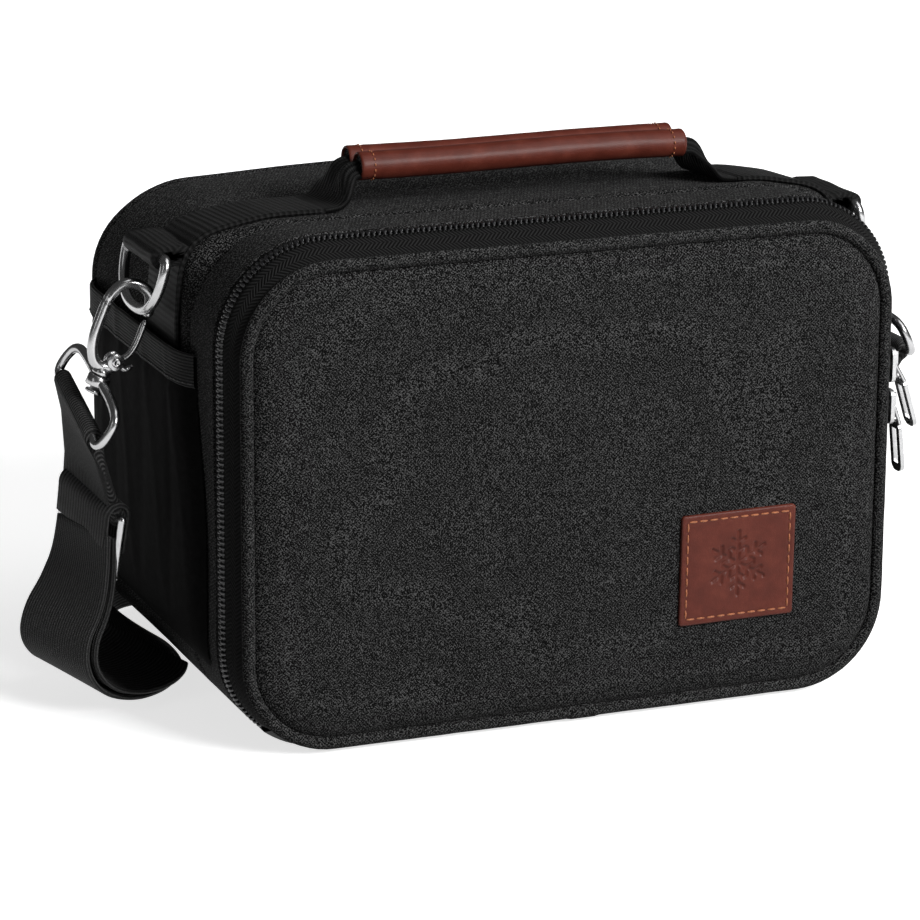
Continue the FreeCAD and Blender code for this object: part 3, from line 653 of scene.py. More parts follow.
def strap_turn():
    """The end of the strap, where it comes over the adjuster's top bar and goes back down inside."""
    bar, side = Vector(ADJUSTER_BAR), Vector(ADJUSTER_ACROSS).normalized()
    out = square_to(Vector((-1.0, 0.0, 0.05)), side)
    up = side.cross(out)
    up = up if up.z > 0 else -up
    r = 4.7
    line = [bar + out * (r - 0.1) - up * h for h in (12.5, 8.0, 4.0)]
    for degrees in range(0, 181, 15):
        a = math.radians(degrees)
        line.append(bar + out * (r * math.cos(a)) + up * (r * math.sin(a)))
    line += [bar - out * (r - 0.05 * h) - up * h for h in (4.0, 8.0, 12.0, 16.0)]
    turned = ribbon("strap_turned_end", line, [side] * len(line), 37.4, WEB_THICK, STRAP_WEB)
    return dressed(turned, "root", "webbing")


# ---- canvas shell
def shell_push(x, y, z):
    """How far the canvas stands out from the ideal outline, or in where it is negative."""
    free = 1.0 - under_strap(y, z)
    flat = 1.0 - smooth(0.0, 12.0, z)
    lumps = 0.7 * rough(x, y, z, 48.0) + 0.25 * rough(x, y, z, 17.0, 5.0)
    dips = free * (0.45 + lumps * 0.6) * (1.0 - 0.8 * flat)
    seam = 0.9 * bump_at(y, GUSSET_SEAM_Y, 1.6) + 0.9 * bump_at(y, BACK_SEAM_Y, 1.6)
    sag = 0.9 * bump_at(y, 22.0, 38.0) * smooth(150.0, 190.0, z) * free
    tent = 0.0
    if z > 150.0 and abs(x) > 90.0:
        near = 1 - smooth(18.0, 27.0, abs(y - STRAP_Y))
        tent = (strap_stand(corner_turn(x, z)) - 0.1) * near
    crown = 3.4 * max(0.0, 1 - (x / 112.0) ** 2) * smooth(175.0, 186.0, z) * smooth(4.0, 45.0, y)
    full = 1.6 * smooth(10.0, 75.0, y) * smooth(120.0, 139.0, abs(x)) * smooth(4.0, 40.0, z)
    return crown + full + tent - dips - seam - sag


def spread(a, b, step):
    count = max(2, round(abs(b - a) / step))
    return [mix(a, b, i / count) for i in range(count + 1)]


def shell_band(name, node, first, last):
    depths = sorted(set(spread(first, last, 3.0) + [first + 0.8, first + 1.8, last - 1.8, last - 0.8]))
    rows = [row_at(body_outline(depths[0], 1.5), depths[0])]
    rows += [row_at(body_outline(y), y, shell_push) for y in depths]
    rows.append(row_at(body_outline(depths[-1], 1.5), depths[-1]))
    dressed(grid(name, rows, CANVAS, loop=True), "root", "canvas", node)


def back_cover():
    """Back panel: a short side from the seam, the rounded edge and the slightly domed back."""
    r = 9.0
    turn = BACK_Y - r
    rows = [row_at(body_outline(BACK_SEAM_Y, 1.5), BACK_SEAM_Y)]
    rows += [row_at(body_outline(y), y, shell_push) for y in (BACK_SEAM_Y, 80.8, 81.8, turn)]
    for degrees in range(10, 91, 10):
        a = math.radians(degrees)
        points = body_outline(turn, r - r * math.cos(a))
        rows.append(row_at(points, turn + r * math.sin(a), lambda x, y, z: shell_push(x, 84.0, z)))
    inset = 13.0
    while inset < 93.0:
        ring = []
        for x, z, _, _ in body_outline(BACK_Y, inset):
            dome = 2.6 * (1 - (x / 130.0) ** 2) * (1 - ((z - 95.0) / 90.0) ** 2)
            ring.append((x, BACK_Y + dome * smooth(9.0, 30.0, inset) + 0.8 * rough(x, 0.0, z, 55.0, 9.0), z))
        rows.append(ring)
        inset += 5.0
    obj = grid("back_canvas", rows, CANVAS, loop=True, cap=True)
    dressed(outward(obj), "root", "canvas", "back_panel")


def shell():
    shell_band("front_gusset_canvas", "front_gusset", BODY_EDGE_Y, GUSSET_SEAM_Y)
    shell_band("main_gusset_canvas", "main_gusset", GUSSET_SEAM_Y, BACK_SEAM_Y)
    back_cover()


# ---- flap
def flap_height(inset, x, z):
    """How far the flap's face stands in front of its edge."""
    roll = 4.0 * (1 - math.exp(-(inset - 4.6) / 3.2))
    crown = 2.7 * max(0.0, 1 - (x / 130.0) ** 2) * max(0.0, 1 - ((z - 97.0) / 93.0) ** 2)
    away = smooth(8.0, 26.0, inset)
    lumps = 0.75 * rough(x, 0.0, z, 62.0, 2.0) + 0.35 * rough(x, 0.0, z, 26.0, 7.0)
    return roll + crown + away * lumps


def flap_inset(x, z):
    """Distance of a point on the flap's face from the flap's outline."""
    middle, tall = (FLAP["low"] + FLAP["top"]) / 2, (FLAP["top"] - FLAP["low"]) / 2
    dx, dz, c = FLAP["half"] - abs(x), tall - abs(z - middle), FLAP["corner"]
    if dx < c and dz < c:
        return c - math.hypot(c - dx, c - dz)
    return min(dx, dz)


def face_y(x, z):
    return FACE_Y - flap_height(max(flap_inset(x, z), FACE_INSET), x, z)


def flap_face():
    """Padded canvas of the flap, from the seam at the piping to the middle."""
    rows = [row_at(flap_outline(FACE_INSET), -86.6), row_at(flap_outline(FACE_INSET - 0.05), -89.4)]
    inset = FACE_INSET
    while inset < 94.0:
        rows.append([(x, FACE_Y - flap_height(inset, x, z), z) for x, z, _, _ in flap_outline(inset)])
        inset += 0.5 if inset < 8 else 1.5 if inset < 14 else 3.0
    obj = outward(grid("flap_padded_face", rows, CANVAS, loop=True, cap=True))
    dressed(obj, "flap", "canvas", "flap_face")


def piping():
    """Covered cord round the flap, and the short sleeve over the place where its ends meet."""
    rows = []
    for a in turns(14):
        row = []
        for x, z, nx, nz in flap_outline(PIPING_R):
            r = PIPING_R - 0.1 + 0.12 * rough(x, 0.0, z, 9.0, 4.0)
            c = r * math.cos(a)
            row.append((x + nx * c, PIPING_Y - r * math.sin(a), z + nz * c))
        rows.append(row)
    obj = outward(grid("flap_piping_cord", rows + [rows[0]], PLAIN_CANVAS, loop=True))
    dressed(obj, "flap", "canvas", "flap_piping")
    middle_z = FLAP["low"] + PIPING_R
    rows = []
    for i in range(9):
        x = mix(-2.0, 11.0, i / 8)
        r = PIPING_R + 0.28 - 0.3 * (i in (0, 8))
        rows.append([(x + 1.2 * math.sin(a), PIPING_Y - r * math.sin(a), middle_z - r * math.cos(a))
                     for a in turns(18)])
    dressed(outward(grid("piping_overlap", rows, PLAIN_CANVAS, loop=True)), "flap", "canvas")


def stitch_mesh(name, runs, material, radius=0.42):
    """Short raised stitches. Each run is (start, end, outward direction)."""
    points, faces = [], []
    sides = 6
    shape = [(0.0, 0.25, -0.25), (0.12, 0.8, 0.05), (0.5, 1.0, 0.3), (0.88, 0.8, 0.05), (1.0, 0.25, -0.25)]
    for a, b, out in runs:
        a, b, out = Vector(a), Vector(b), Vector(out).normalized()
        side = (b - a).normalized().cross(out).normalized()
        base = len(points)
        for t, r, lift in shape:
            middle = a.lerp(b, t) + out * (lift * radius)
            points += [middle + (side * math.cos(w) + out * math.sin(w)) * (radius * r) for w in turns(sides)]
        faces += ring_faces(base, len(shape), sides)
        faces.append([base + k for k in range(sides)][::-1])
        faces.append([base + sides * (len(shape) - 1) + k for k in range(sides)])
    return outward(mesh_object(name, points, faces, None, material))


def flake_depth(x, z):
    """1 inside the lines of a plain six-armed snow crystal centred on the origin, falling to 0 outside."""
    r = math.hypot(x, z)
    if r > 15.5:
        return 0.0
    a = math.radians(math.degrees(math.atan2(z, x)) % 60.0 - 30.0)
    u, v = r * math.cos(a), abs(r * math.sin(a))
    lines = [v if u < 13.0 else math.hypot(u - 13.0, v)]
    for start, long in ((4.5, 3.4), (8.4, 3.2)):
        t = min(long, max(0.0, (u - start) * 0.5 + v * 0.866))
        lines.append(math.hypot(u - start - 0.5 * t, v - 0.866 * t))
    return 1.0 - smooth(0.40, 1.0, min(lines))


PATCH = dict(x=67.75, z=58.5, half_x=24.75, half_z=22.5, corner=1.4, step=0.45, seam=2.5)


def patch_point(s, t, past):
    """Point of the patch at shares s and t of its width and height; past counts the rows over its edge."""
    half_x, half_z, corner = PATCH["half_x"], PATCH["half_z"], PATCH["corner"]
    ux, uz = mix(-half_x, half_x, s), mix(-half_z, half_z, t)
    dx, dz = abs(ux) - (half_x - corner), abs(uz) - (half_z - corner)
    edge = min(half_x - abs(ux), half_z - abs(uz))
    if dx > 0 and dz > 0:
        far = math.hypot(dx, dz)
        if far > corner:
            ux = math.copysign(half_x - corner + dx * corner / far, ux)
            uz = math.copysign(half_z - corner + dz * corner / far, uz)
        edge = corner - min(far, corner)
    lift = 1.5 - 0.35 * math.exp(-edge / 0.3) - 0.16 * bump_at(edge, PATCH["seam"], 0.7)
    lift -= 0.75 * flake_depth(ux, uz - 1.0)
    if past > 0:
        lift = 0.35 if past == 1 else -0.6
    x, z = PATCH["x"] + ux, PATCH["z"] + uz
    return x, face_y(x, z) - lift - 0.12, z


def patch_stitches():
    """Start, end and direction of each stitch, along the patch's four sides."""
    pitch, long = 4.3, 3.4
    wide, tall = PATCH["half_x"] - PATCH["seam"], PATCH["half_z"] - PATCH["seam"]
    signs = ((-1, -1), (1, -1), (1, 1), (-1, 1))
    corners = [(PATCH["x"] + i * wide, PATCH["z"] + j * tall) for i, j in signs]
    runs = []
    for (ax, az), (bx, bz) in zip(corners, corners[1:] + corners[:1]):
        length = math.hypot(bx - ax, bz - az)
        count = round(length / pitch)
        gap = (pitch - long) / 2 / length
        for k in range(count):
            ends = []
            for t in (k / count + gap, (k + 1) / count - gap):
                x, z = mix(ax, bx, t), mix(az, bz, t)
                ends.append((x, face_y(x, z) - 1.45, z))
            runs.append((*ends, (0, -1, 0)))
    return runs


def leather_patch():
    """Square of leather with an embossed snow crystal and a row of stitches round its edge."""
    rows = []
    nx, nz = (round(2 * half / PATCH["step"]) for half in (PATCH["half_x"], PATCH["half_z"]))
    for j in range(-2, nz + 3):
        row = []
        for i in range(-2, nx + 3):
            past = max(-i, i - nx, -j, j - nz)
            row.append(patch_point(min(nx, max(0, i)) / nx, min(nz, max(0, j)) / nz, past))
        rows.append(row)
    obj = outward(grid("leather_patch_piece", rows, LEATHER))
    dressed(obj, "flap", "leather", "leather_patch")
    dressed(stitch_mesh("patch_stitches", patch_stitches(), THREAD, 0.45), "flap", "leather")


# ---- zipper
def zip_span(points):
    """First and last place in an outline that lie on the zipper, not along the hinge."""
    kept = [i for i, p in enumerate(points) if p[1] >= ZIP_END_Z or abs(p[0]) > 139.0]
    return kept[0], kept[-1]


def between(first, last, ys, t, bulge=0.0):
    """Row at share t of the way between two outlines at depths ys, pushed outwards by bulge."""
    row = []
    for (ax, az, nx, nz), (bx, bz, _, _) in zip(first, last):
        row.append((mix(ax, bx, t) + nx * bulge, mix(*ys, t), mix(az, bz, t) + nz * bulge))
    return row


def tapes():
    first, last = zip_span(body_outline(ZIP_Y))
    cut = slice(first, last + 1)
    inner, outer = flap_outline(1.4)[cut], body_outline(-81.3, 1.5)[cut]
    rows = [between(inner, outer, FLAP_TAPE_Y, t, 0.35 * math.sin(math.pi * t))
            for t in (0, 0.2, 0.4, 0.6, 0.8, 1)]
    rows.append(row_at(body_outline(FLAP_TAPE_Y[1], 2.4)[cut], FLAP_TAPE_Y[1] + 0.3))
    dressed(grid("flap_tape_weave", rows, TAPE), "flap", "zip_tape", "flap_zip_tape")
    near, edge = body_outline(BODY_TAPE_Y[0], 1.5)[cut], body_outline(BODY_EDGE_Y, 0.9)[cut]
    rows = [row_at(body_outline(BODY_TAPE_Y[0], 2.4)[cut], BODY_TAPE_Y[0] - 0.3)]
    rows += [between(near, edge, BODY_TAPE_Y, t) for t in (0, 0.35, 0.7, 1)]
    dressed(grid("body_tape_weave", rows, TAPE), "root", "zip_tape", "body_zip_tape")


def along_outline(y, pitch, offset):
    """Evenly spaced places along the zipper as (x, z, outward x, outward z)."""
    points = body_outline(y)
    first, last = zip_span(points)
    points = points[first:last + 1]
    out, want, done = [], offset, 0.0
    for p, q in zip(points, points[1:]):
        step = math.hypot(q[0] - p[0], q[1] - p[1])
        while want <= done + step:
            t = (want - done) / step
            out.append(tuple(mix(a, b, t) for a, b in zip(p, q)))
            want += pitch
        done += step
    return out


def coil_half(name, body, node, root_y, head_y, offset, strip):
    """Moulded coil: one hook-shaped tooth after another on a woven strip."""
    points, faces = [], []
    pitch, sides = 2.2, 6
    sections = [(0.0, 2.0, 0.5), (0.12, 1.1, 0.66), (0.45, 0.7, 0.68), (0.8, 0.62, 0.54), (0.95, 0.9, 0.48),
                (1.0, 1.3, 0.3)]
    for x, z, nx, nz in along_outline(COIL_Y, pitch, offset):
        out = Vector((nx, 0.0, nz)).normalized()
        side = Vector((0.0, 1.0, 0.0)).cross(out)
        base = len(points)
        for t, depth, r in sections:
            middle = Vector((x, mix(root_y, head_y, t), z)) - out * depth
            points += [middle + side * (math.cos(w) * r) + out * (math.sin(w) * r * 0.8)
                       for w in turns(sides)]
        faces += ring_faces(base, len(sections), sides)
        faces.append([base + (len(sections) - 1) * sides + k for k in range(sides)])
    span = body_outline(COIL_Y, 2.1)
    first, last = zip_span(span)
    rows = [row_at(span[first:last + 1], y) for y in strip]
    more, _ = grid_data(rows, start=len(points))
    points += [p for row in rows for p in row]
    dressed(mesh_object(name, points, faces + more, None, COIL), body, "zip_teeth", node)


def zipper():
    tapes()
    coil_half("body_coil_teeth", "root", "body_zip_coil", -75.3, -78.75, 0.6, (-77.9, -75.2))
    coil_half("flap_coil_teeth", "flap", "flap_zip_coil", -81.1, -77.65, 1.7, (-81.2, -78.5))


def hinge_strip():
    """Canvas along the bottom, from the body's edge to the flap's edge."""
    reach = zip_span(body_outline(ZIP_Y))[0] + 1
    flap_y, body_y = HINGE_Y
    body_edge, flap_edge = (points[-reach:] + points[:reach + 1]
                            for points in (body_outline(body_y, 0.3), flap_outline(0.9)))
    rows = [between(body_edge, flap_edge, (body_y, flap_y), i / 10, -0.9 * math.sin(math.pi * i / 10))
            for i in range(11)]
    inside = [[(x, y, z + 1.0) for x, y, z in row] for row in rows]
    obj = outward(grid("hinge_canvas", rows + inside[::-1] + [rows[0]], PLAIN_CANVAS))
    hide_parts("flap_hinge_gusset")
    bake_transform(obj)


# ---- pockets
def pocket_front(z):
    """The pocket's front seam leans towards the zipper as it goes down."""
    return POCKET_FRONT_Y - 2.0 + 11.0 * smooth(80.0, 150.0, z)


def side_x(y, z):
    """Half width of the body at depth y and height z, on its upright side and lower corner."""
    s = body_sizes(y)
    dz = s["low"] + s["corner"] - z
    if dz <= 0:
        return s["half"]
    return s["half"] - s["corner"] + math.sqrt(max(0.0, s["corner"] ** 2 - dz * dz))


# Upright folds of the stretch fabric: place as a share of its depth, width, height and lean.
POCKET_FOLDS = [
    (0.10, 2.6, 0.55, 0.05), (0.19, 3.4, -0.7, -0.04), (0.31, 4.2, 0.6, 0.07), (0.45, 5.0, -0.6, -0.06),
    (0.58, 3.6, 0.7, 0.05), (0.70, 4.6, -0.65, 0.03), (0.82, 3.2, 0.6, -0.05), (0.91, 2.6, -0.5, 0.02),
]


def pocket_out(t, z, y):
    """Stand-off of the stretch fabric; t runs from 0 at the front seam to 1 at the back seam."""
    across = 1 - math.exp(-min(t, 1 - t) * POCKET_DEEP / 7.0)
    up = 1 - math.exp(-(z - POCKET_LOW) / 9.0)
    folds = 0.0
    for middle, width, depth, drift in POCKET_FOLDS:
        place = (middle + drift * (z - 90.0) / 60.0) * POCKET_DEEP
        fade = 0.55 + 0.45 * rough(0.0, place, z, 34.0, middle * 9)
        folds += depth * bump_at(t * POCKET_DEEP, place, width) * fade
    folds *= smooth(36.0, 60.0, z) * 0.95
    return 0.25 + across * (folds + up * (5.7 + 0.35 * rough(0.0, y, z, 30.0, 1.0)))


def pocket(side):
    """Stretch fabric, its elastic top band and the row of stitches along the band."""
    k = -1 if side == "left" else 1
    heights = spread(POCKET_LOW, POCKET_TOP - 1.0, 3.0)
    steps = 72

    def place(t, z, extra=0.0):
        y = mix(pocket_front(z), POCKET_BACK_Y, t)
        return (k * (side_x(y, z) + pocket_out(t, z, y) + extra), y, z)

    rows = []
    for z in heights:
        tuck = -0.5 if z > POCKET_TOP - 14 else 0.0
        rows.append([place(i / steps, z, tuck) for i in range(steps + 1)])
    skin = grid(side + "_pocket_stretch", rows, STRETCH, turn=(k < 0))
    dressed(skin, "root", "stretch_fabric", side + "_pocket")

    low, top = POCKET_TOP - 12.5, POCKET_TOP + 0.4
    profile = [(low, 0.1), (low + 0.5, 0.75)] + [(z, 0.85) for z in spread(low + 1.5, top - 1.0, 1.2)]
    profile += [(top, 0.35), (top, -0.45), (top - 1.0, -1.0), (low, -1.0)]
    shares = [i / steps / 2 for i in range(steps * 2 + 1)]
    rows = [[place(t, z, extra + 0.12 * rough(t * POCKET_DEEP, z, 0.0, 9.0)) for t in shares]
            for z, extra in profile]
    band = grid(side + "_pocket_elastic", rows, ELASTIC, turn=(k < 0))
    dressed(band, "root", "stretch_fabric", side + "_pocket_band")

    count, seam_z = 48, low + 1.6
    runs = [(place((j + 0.2) / count, seam_z, 1.0), place((j + 0.8) / count, seam_z, 1.0), (k, 0, 0))
            for j in range(count)]
    stitches = stitch_mesh(side + "_pocket_stitches", runs, DARK_THREAD, 0.3)
    dressed(stitches, "root", "stretch_fabric")


# ---- handle and its webbing
def strap_rows(side):
    """Middle and width direction of the handle webbing on the body, from low on the side to the handle."""
    low_y, high_y = STRAP_Y - STRAP_HALF, STRAP_Y + STRAP_HALF
    a, b = body_outline(low_y), body_outline(high_y)
    sign = -1 if side == "left" else 1
    foot = abs(GRIP_X[side == "right"]) + 15.0
    keep = [i for i, p in enumerate(a) if p[1] > 70.0 and p[0] * sign > foot]
    if side == "left":
        keep.reverse()
    line, across = [], []
    for i in keep:
        turn = math.degrees(math.atan2(a[i][3], abs(a[i][2])))
        lift = 1.15 + strap_stand(turn)
        p = Vector((a[i][0] + a[i][2] * lift, low_y, a[i][1] + a[i][3] * lift))
        q = Vector((b[i][0] + b[i][2] * lift, high_y, b[i][1] + b[i][3] * lift))
        line.append((p + q) / 2)
        across.append((q - p).normalized())
    return line, across


def side_strap(side):
    """Handle webbing on the bag's side and round its top corner."""
    line, across = strap_rows(side)
    obj = ribbon(side + "_handle_webbing", line, across, STRAP_WIDE, WEB_THICK, HANDLE_WEB)
    dressed(obj, "root", "webbing", side + "_side_strap")


def leg(side):
    """Webbing that leaves the body and gathers into the end of the grip."""
    sign = -1 if side == "left" else 1
    foot = strap_rows(side)[0][-1]
    slope = (BODY_BACK["top"] - BODY_FRONT["top"]) / (BODY_BACK["y"] - BODY_FRONT["y"])
    lift = GRIP_Z - 1.0 - foot.z
    course = [(0.0, 0.0), (3.0, 0.1), (6.5, 0.8), (9.0, 3.2), (10.6, 6.6), (11.9, 10.0), (13.6, 13.0),
              (16.5, lift), (20.5, lift)]
    line = evaluated([Vector((x, 0.0, z)) for x, z in course], side + "_leg_line")
    rows = []
    for p, back, ahead in zip(line, line[:1] + line, line[1:] + line[-1:]):
        rise = min(1.0, p.z / lift)
        gather = smooth(0.25, 1.0, rise)
        run = (ahead - back).normalized()
        row = []
        for a, u in tape_profile(STRAP_WIDE, WEB_THICK, 18):
            j = a / STRAP_HALF
            y = STRAP_Y + a * (1 - 0.44 * gather)
            lobe = gather * (1.9 * (1 - math.cos(2 * math.pi * j)) / 2 - 2.4 * smooth(0.62, 1.0, abs(j)))
            x = sign * (abs(foot.x) - p.x + run.z * (u + lobe))
            row.append((x, y, foot.z + p.z + slope * (y - STRAP_Y) * (1 - rise) + run.x * (u + lobe)))
        rows.append(row)
    obj = outward(grid(side + "_leg_webbing", rows, HANDLE_WEB, loop=True))
    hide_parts(side + "_handle_leg")
    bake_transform(obj)


LOBE_OUT, HEM = 6.6, 5.5                # lobe's middle from the grip's middle, hem seam from its end


def grip_section(grow=0.0):
    """Two lobes side by side, flat below: (y, z) about the grip's middle."""
    r, out = 5.55 + grow, LOBE_OUT
    angles = [math.radians(a) for a in range(-90, 141, 12)]
    pts = [(out + r * math.cos(a), r * math.sin(a)) for a in angles] + [(1.4, 0.6), (0.5, -0.2)]
    other = [(-y, z) for y, z in reversed(pts)]
    bottom = [(-out * s, -r + 0.5 * math.cos(math.pi * s / 2)) for s in (0.66, 0.33, 0.0, -0.33, -0.66)]
    return pts + other + bottom


def grip():
    """Leather sleeve over the handle, drawn in along its hems, with a row of stitches at each end."""
    start, end = GRIP_X
    rim = [(1.6, -1.5), (0.4, -1.1), (0.0, -0.5), (0.35, -0.08), (1.0, 0.05)]
    stations = [(start + x, grow) for x, grow in rim]
    stations += [(x, 0.0) for x in spread(start + 2.0, end - 2.0, 2.0)]
    stations += [(end - x, grow) for x, grow in rim[::-1]]
    rows = []
    for x, grow in stations:
        hem = -0.28 * (bump_at(x, start + HEM, 1.0) + bump_at(x, end - HEM, 1.0))
        along = (x - start) / (end - start)
        wave = 0.3 * math.sin(2 * math.pi * along)
        arch = 0.35 * math.cos(math.pi * (x - 6.0) / 138.0) - 0.2
        inside = smooth(start + 3.0, start + 10.0, x) * (1 - smooth(end - 10.0, end - 3.0, x))
        row = []
        for y, z in grip_section(grow + hem):
            lump = 0.3 * rough(x, y * 3, z * 3, 16.0, 3.0) + 0.15 * rough(x, y * 2, z * 2, 6.0, 8.0)
            s = 1 + lump * 0.045 * inside
            sink = 0.5 * math.sin(math.pi * along) * smooth(0.0, 4.0, y) + wave
            row.append((x, STRAP_Y + y * s, GRIP_Z + z * s + arch - sink * inside))
        rows.append(row)
    obj = outward(grid("grip_leather", rows, LEATHER, loop=True))
    dressed(obj, "handle", "leather", "handle_grip")
    runs = []
    section = grip_section()
    for x in (start + HEM, end - HEM):
        for (ay, az), (by, bz) in zip(section[0:20:2], section[1:21:2]):
            for flip in (1, -1):
                a, b = ((x, STRAP_Y + flip * y, GRIP_Z + z - 0.15) for y, z in ((ay, az), (by, bz)))
                runs.append((a, b, (0.0, flip * ((ay + by) / 2 - LOBE_OUT), (az + bz) / 2)))
    dressed(stitch_mesh("grip_hem_stitches", runs, THREAD, 0.34), "handle", "leather")


# ---- webbing round the rings
def swept_loop(name, path, half, material):
    """Bent tape; path(s) is its closed outline at the place s across its width, from -half to half."""
    rows = [path(mix(-half, half, i / 12)) for i in range(13)]
    n = len(rows[0])
    first, last = (tuple(sum((Vector(p) for p in row), Vector()) / n) for row in (rows[0], rows[-1]))
    return outward(grid(name, [[first] * n] + rows + [[last] * n], material, loop=True))


def thick_path(points, thick):
    """Closed outline of a bent strip, from its middle line given as (x, z) points."""
    left, right = [], []
    for i, (x, z) in enumerate(points):
        ax, az = points[max(0, i - 1)]
        bx, bz = points[min(len(points) - 1, i + 1)]
        long = math.hypot(bx - ax, bz - az)
        nx, nz = -(bz - az) / long * thick / 2, (bx - ax) / long * thick / 2
        left.append((x + nx, z + nz))
        right.append((x - nx, z - nz))
    return left + right[::-1]


def ring_tab(side):
    """Folded webbing that holds the D-ring."""
    k = 1 if side == "left" else -1
    (cx, _, cz), r = RING_EYE, 3.4
    angles = [math.radians(a) for a in range(100, 281, 15)]
    line = [(-131.0, 186.6), (-134.5, 187.4), (-139.0, 188.2)]
    line += [(cx + r * math.cos(a), cz + r * math.sin(a)) for a in angles]
    line += [(-141.5, 182.3), (-136.5, 183.4), (-131.0, 184.0)]
    ring = thick_path(line, 1.8)

    def path(s):
        return [(k * x, STRAP_Y + s, z + 0.15 * math.sin(s * 0.3)) for x, z in ring]

    obj = swept_loop(side + "_tab_webbing", path, 18.2, HANDLE_WEB)
    dressed(obj, "root", "webbing", side + "_ring_tab")


def strap_loop(side, top, top_across, low, low_across, top_r, low_r):
    """Doubled webbing from the swivel ring's bar to the piece below."""
    top, low = Vector(top), Vector(low)
    top_across, low_across = Vector(top_across).normalized(), Vector(low_across).normalized()
    outer, shares = 1.85, (0.3, 0.45, 0.6, 0.72)

    def path(s):
        a, b = top + top_across * s, low + low_across * s
        down = (b - a).normalized()
        normal = (top_across + low_across).normalized().cross(down).normalized()
        ring = []
        for middle, r, way, straight in ((a, top_r + outer, 1, shares), (b, low_r + outer, -1, shares[::-1])):
            for w in (math.pi * i / 8 for i in range(9)):
                ring.append(middle + normal * (way * math.cos(w) * r) - down * (way * math.sin(w) * r))
            ring += [a.lerp(b, t) - normal * (way * 1.9) for t in straight]
        return [tuple(p) for p in ring]

    obj = swept_loop(side + "_loop_webbing", path, 18.4, STRAP_WEB)
    return dressed(obj, "root", "webbing", side + "_strap_loop")


def ring_turn(side):
    """How the swivel ring hangs in its hook's frame."""
    if side == "right":
        return Matrix.Identity(3)
    return Matrix.Rotation(math.radians(14.0), 3, "Z") @ Matrix.Rotation(math.radians(21.0), 3, "X")


def bar_of(side):
    """Middle and direction of the swivel ring's lower bar."""
    world, way = placed(side, HOOK_LEAN, HOOK_MIDDLE)
    low = ring_turn(side) @ Vector((0.0, 0.0, -14.0))
    return world(low.x, low.y, low.z - RING_BELOW_HOOK), way(*(ring_turn(side) @ Vector((0.0, -1.0, 0.0))))


def strap_ends():
    """Loops that join the strap to the two swivel rings: to the adjuster on the left, sewn on the right."""
    left = strap_loop("left", *bar_of("left"), ADJUSTER_BAR, ADJUSTER_ACROSS, 1.9, 1.7)
    right = strap_loop("right", *bar_of("right"), (164.5, -13.0, 107.6), (0.0, -1.0, 0.0), 1.9, 0.3)
    return left, right


# ---- rings and snap hooks
WIRE_SIDES = 14


def tube_rows(line, radius, closed=False, flat=1.0):
    """Rings of a round wire along line; radius may be a function of the share of its length."""
    count = len(line)
    rows = []
    normal = None
    for i, p in enumerate(line):
        ahead = line[(i + 1) % count] if closed else line[min(i + 1, count - 1)]
        back = line[i - 1] if closed else line[max(i - 1, 0)]
        along = (ahead - back).normalized()
        if normal is None:
            normal = Vector((0.0, 1.0, 0.0)) if abs(along.y) < 0.7 else Vector((1.0, 0.0, 0.0))
        normal = square_to(normal, along)
        other = along.cross(normal)
        r = radius(i / (count - 1)) if callable(radius) else radius
        rows.append([p + normal * (math.cos(w) * r) + other * (math.sin(w) * r * flat)
                     for w in turns(WIRE_SIDES)])
    return rows


def lathe(foot, axis, side, profile):
    """Rings of a turned piece round the axis through foot; the profile is (height, radius)."""
    other = axis.cross(side)
    return [[foot + axis * h + side * (math.cos(w) * r) + other * (math.sin(w) * r) for w in turns(28)]
            for h, r in profile]


def metal_piece(name, parts, body, *nodes):
    dressed(outward(joined(name, parts, CHROME)), body, "chrome_hardware", *nodes)


def placed(side, tilt, origin):
    """How a point and a direction of the left-hand piece, leaned by tilt about Y, lie in the frame."""
    lean = math.radians(tilt)
    x_axis = Vector((math.cos(lean), 0.0, -math.sin(lean)))
    z_axis = Vector((math.sin(lean), 0.0, math.cos(lean)))
    k = 1.0 if side == "left" else -1.0

    def way(x, y, z, start=(0.0, 0.0, 0.0)):
        d = Vector(start) + x_axis * x + Vector((0.0, y, 0.0)) + z_axis * z
        return Vector((k * d.x, d.y, d.z))

    def world(x, y, z):
        return way(x, y, z, origin)

    return world, way


def d_ring(side):
    """Wire ring with a straight bar on top, hanging in its webbing tab."""
    world, _ = placed(side, RING_LEAN, RING_EYE)
    right = [(17.0, 0.0), (22.6, 0.6), (24.2, -5.5), (20.5, -15.5), (11.0, -22.6)]
    ring = [(-8.0, 0.0), (8.0, 0.0)] + right + [(-y, z) for y, z in reversed(right)]
    line = closed_line([world(0.0, y, z) for y, z in ring], side + "_d_line")
    rows = tube_rows(line, 2.05, True)
    metal_piece(side + "_d_ring_wire", [rows + [rows[0]]], side + "_ring", side + "_d_ring")


def closed_line(points, name):
    """Smooth closed line: three control points are repeated so that the ends meet."""
    line = evaluated(points + points[:3], name)
    start = (points[0] + points[1]) / 2

    def nearest(places):
        return min(places, key=lambda i: (line[i] - start).length)

    return line[nearest(range(len(line) // 3)):nearest(range(len(line) // 2, len(line)))]


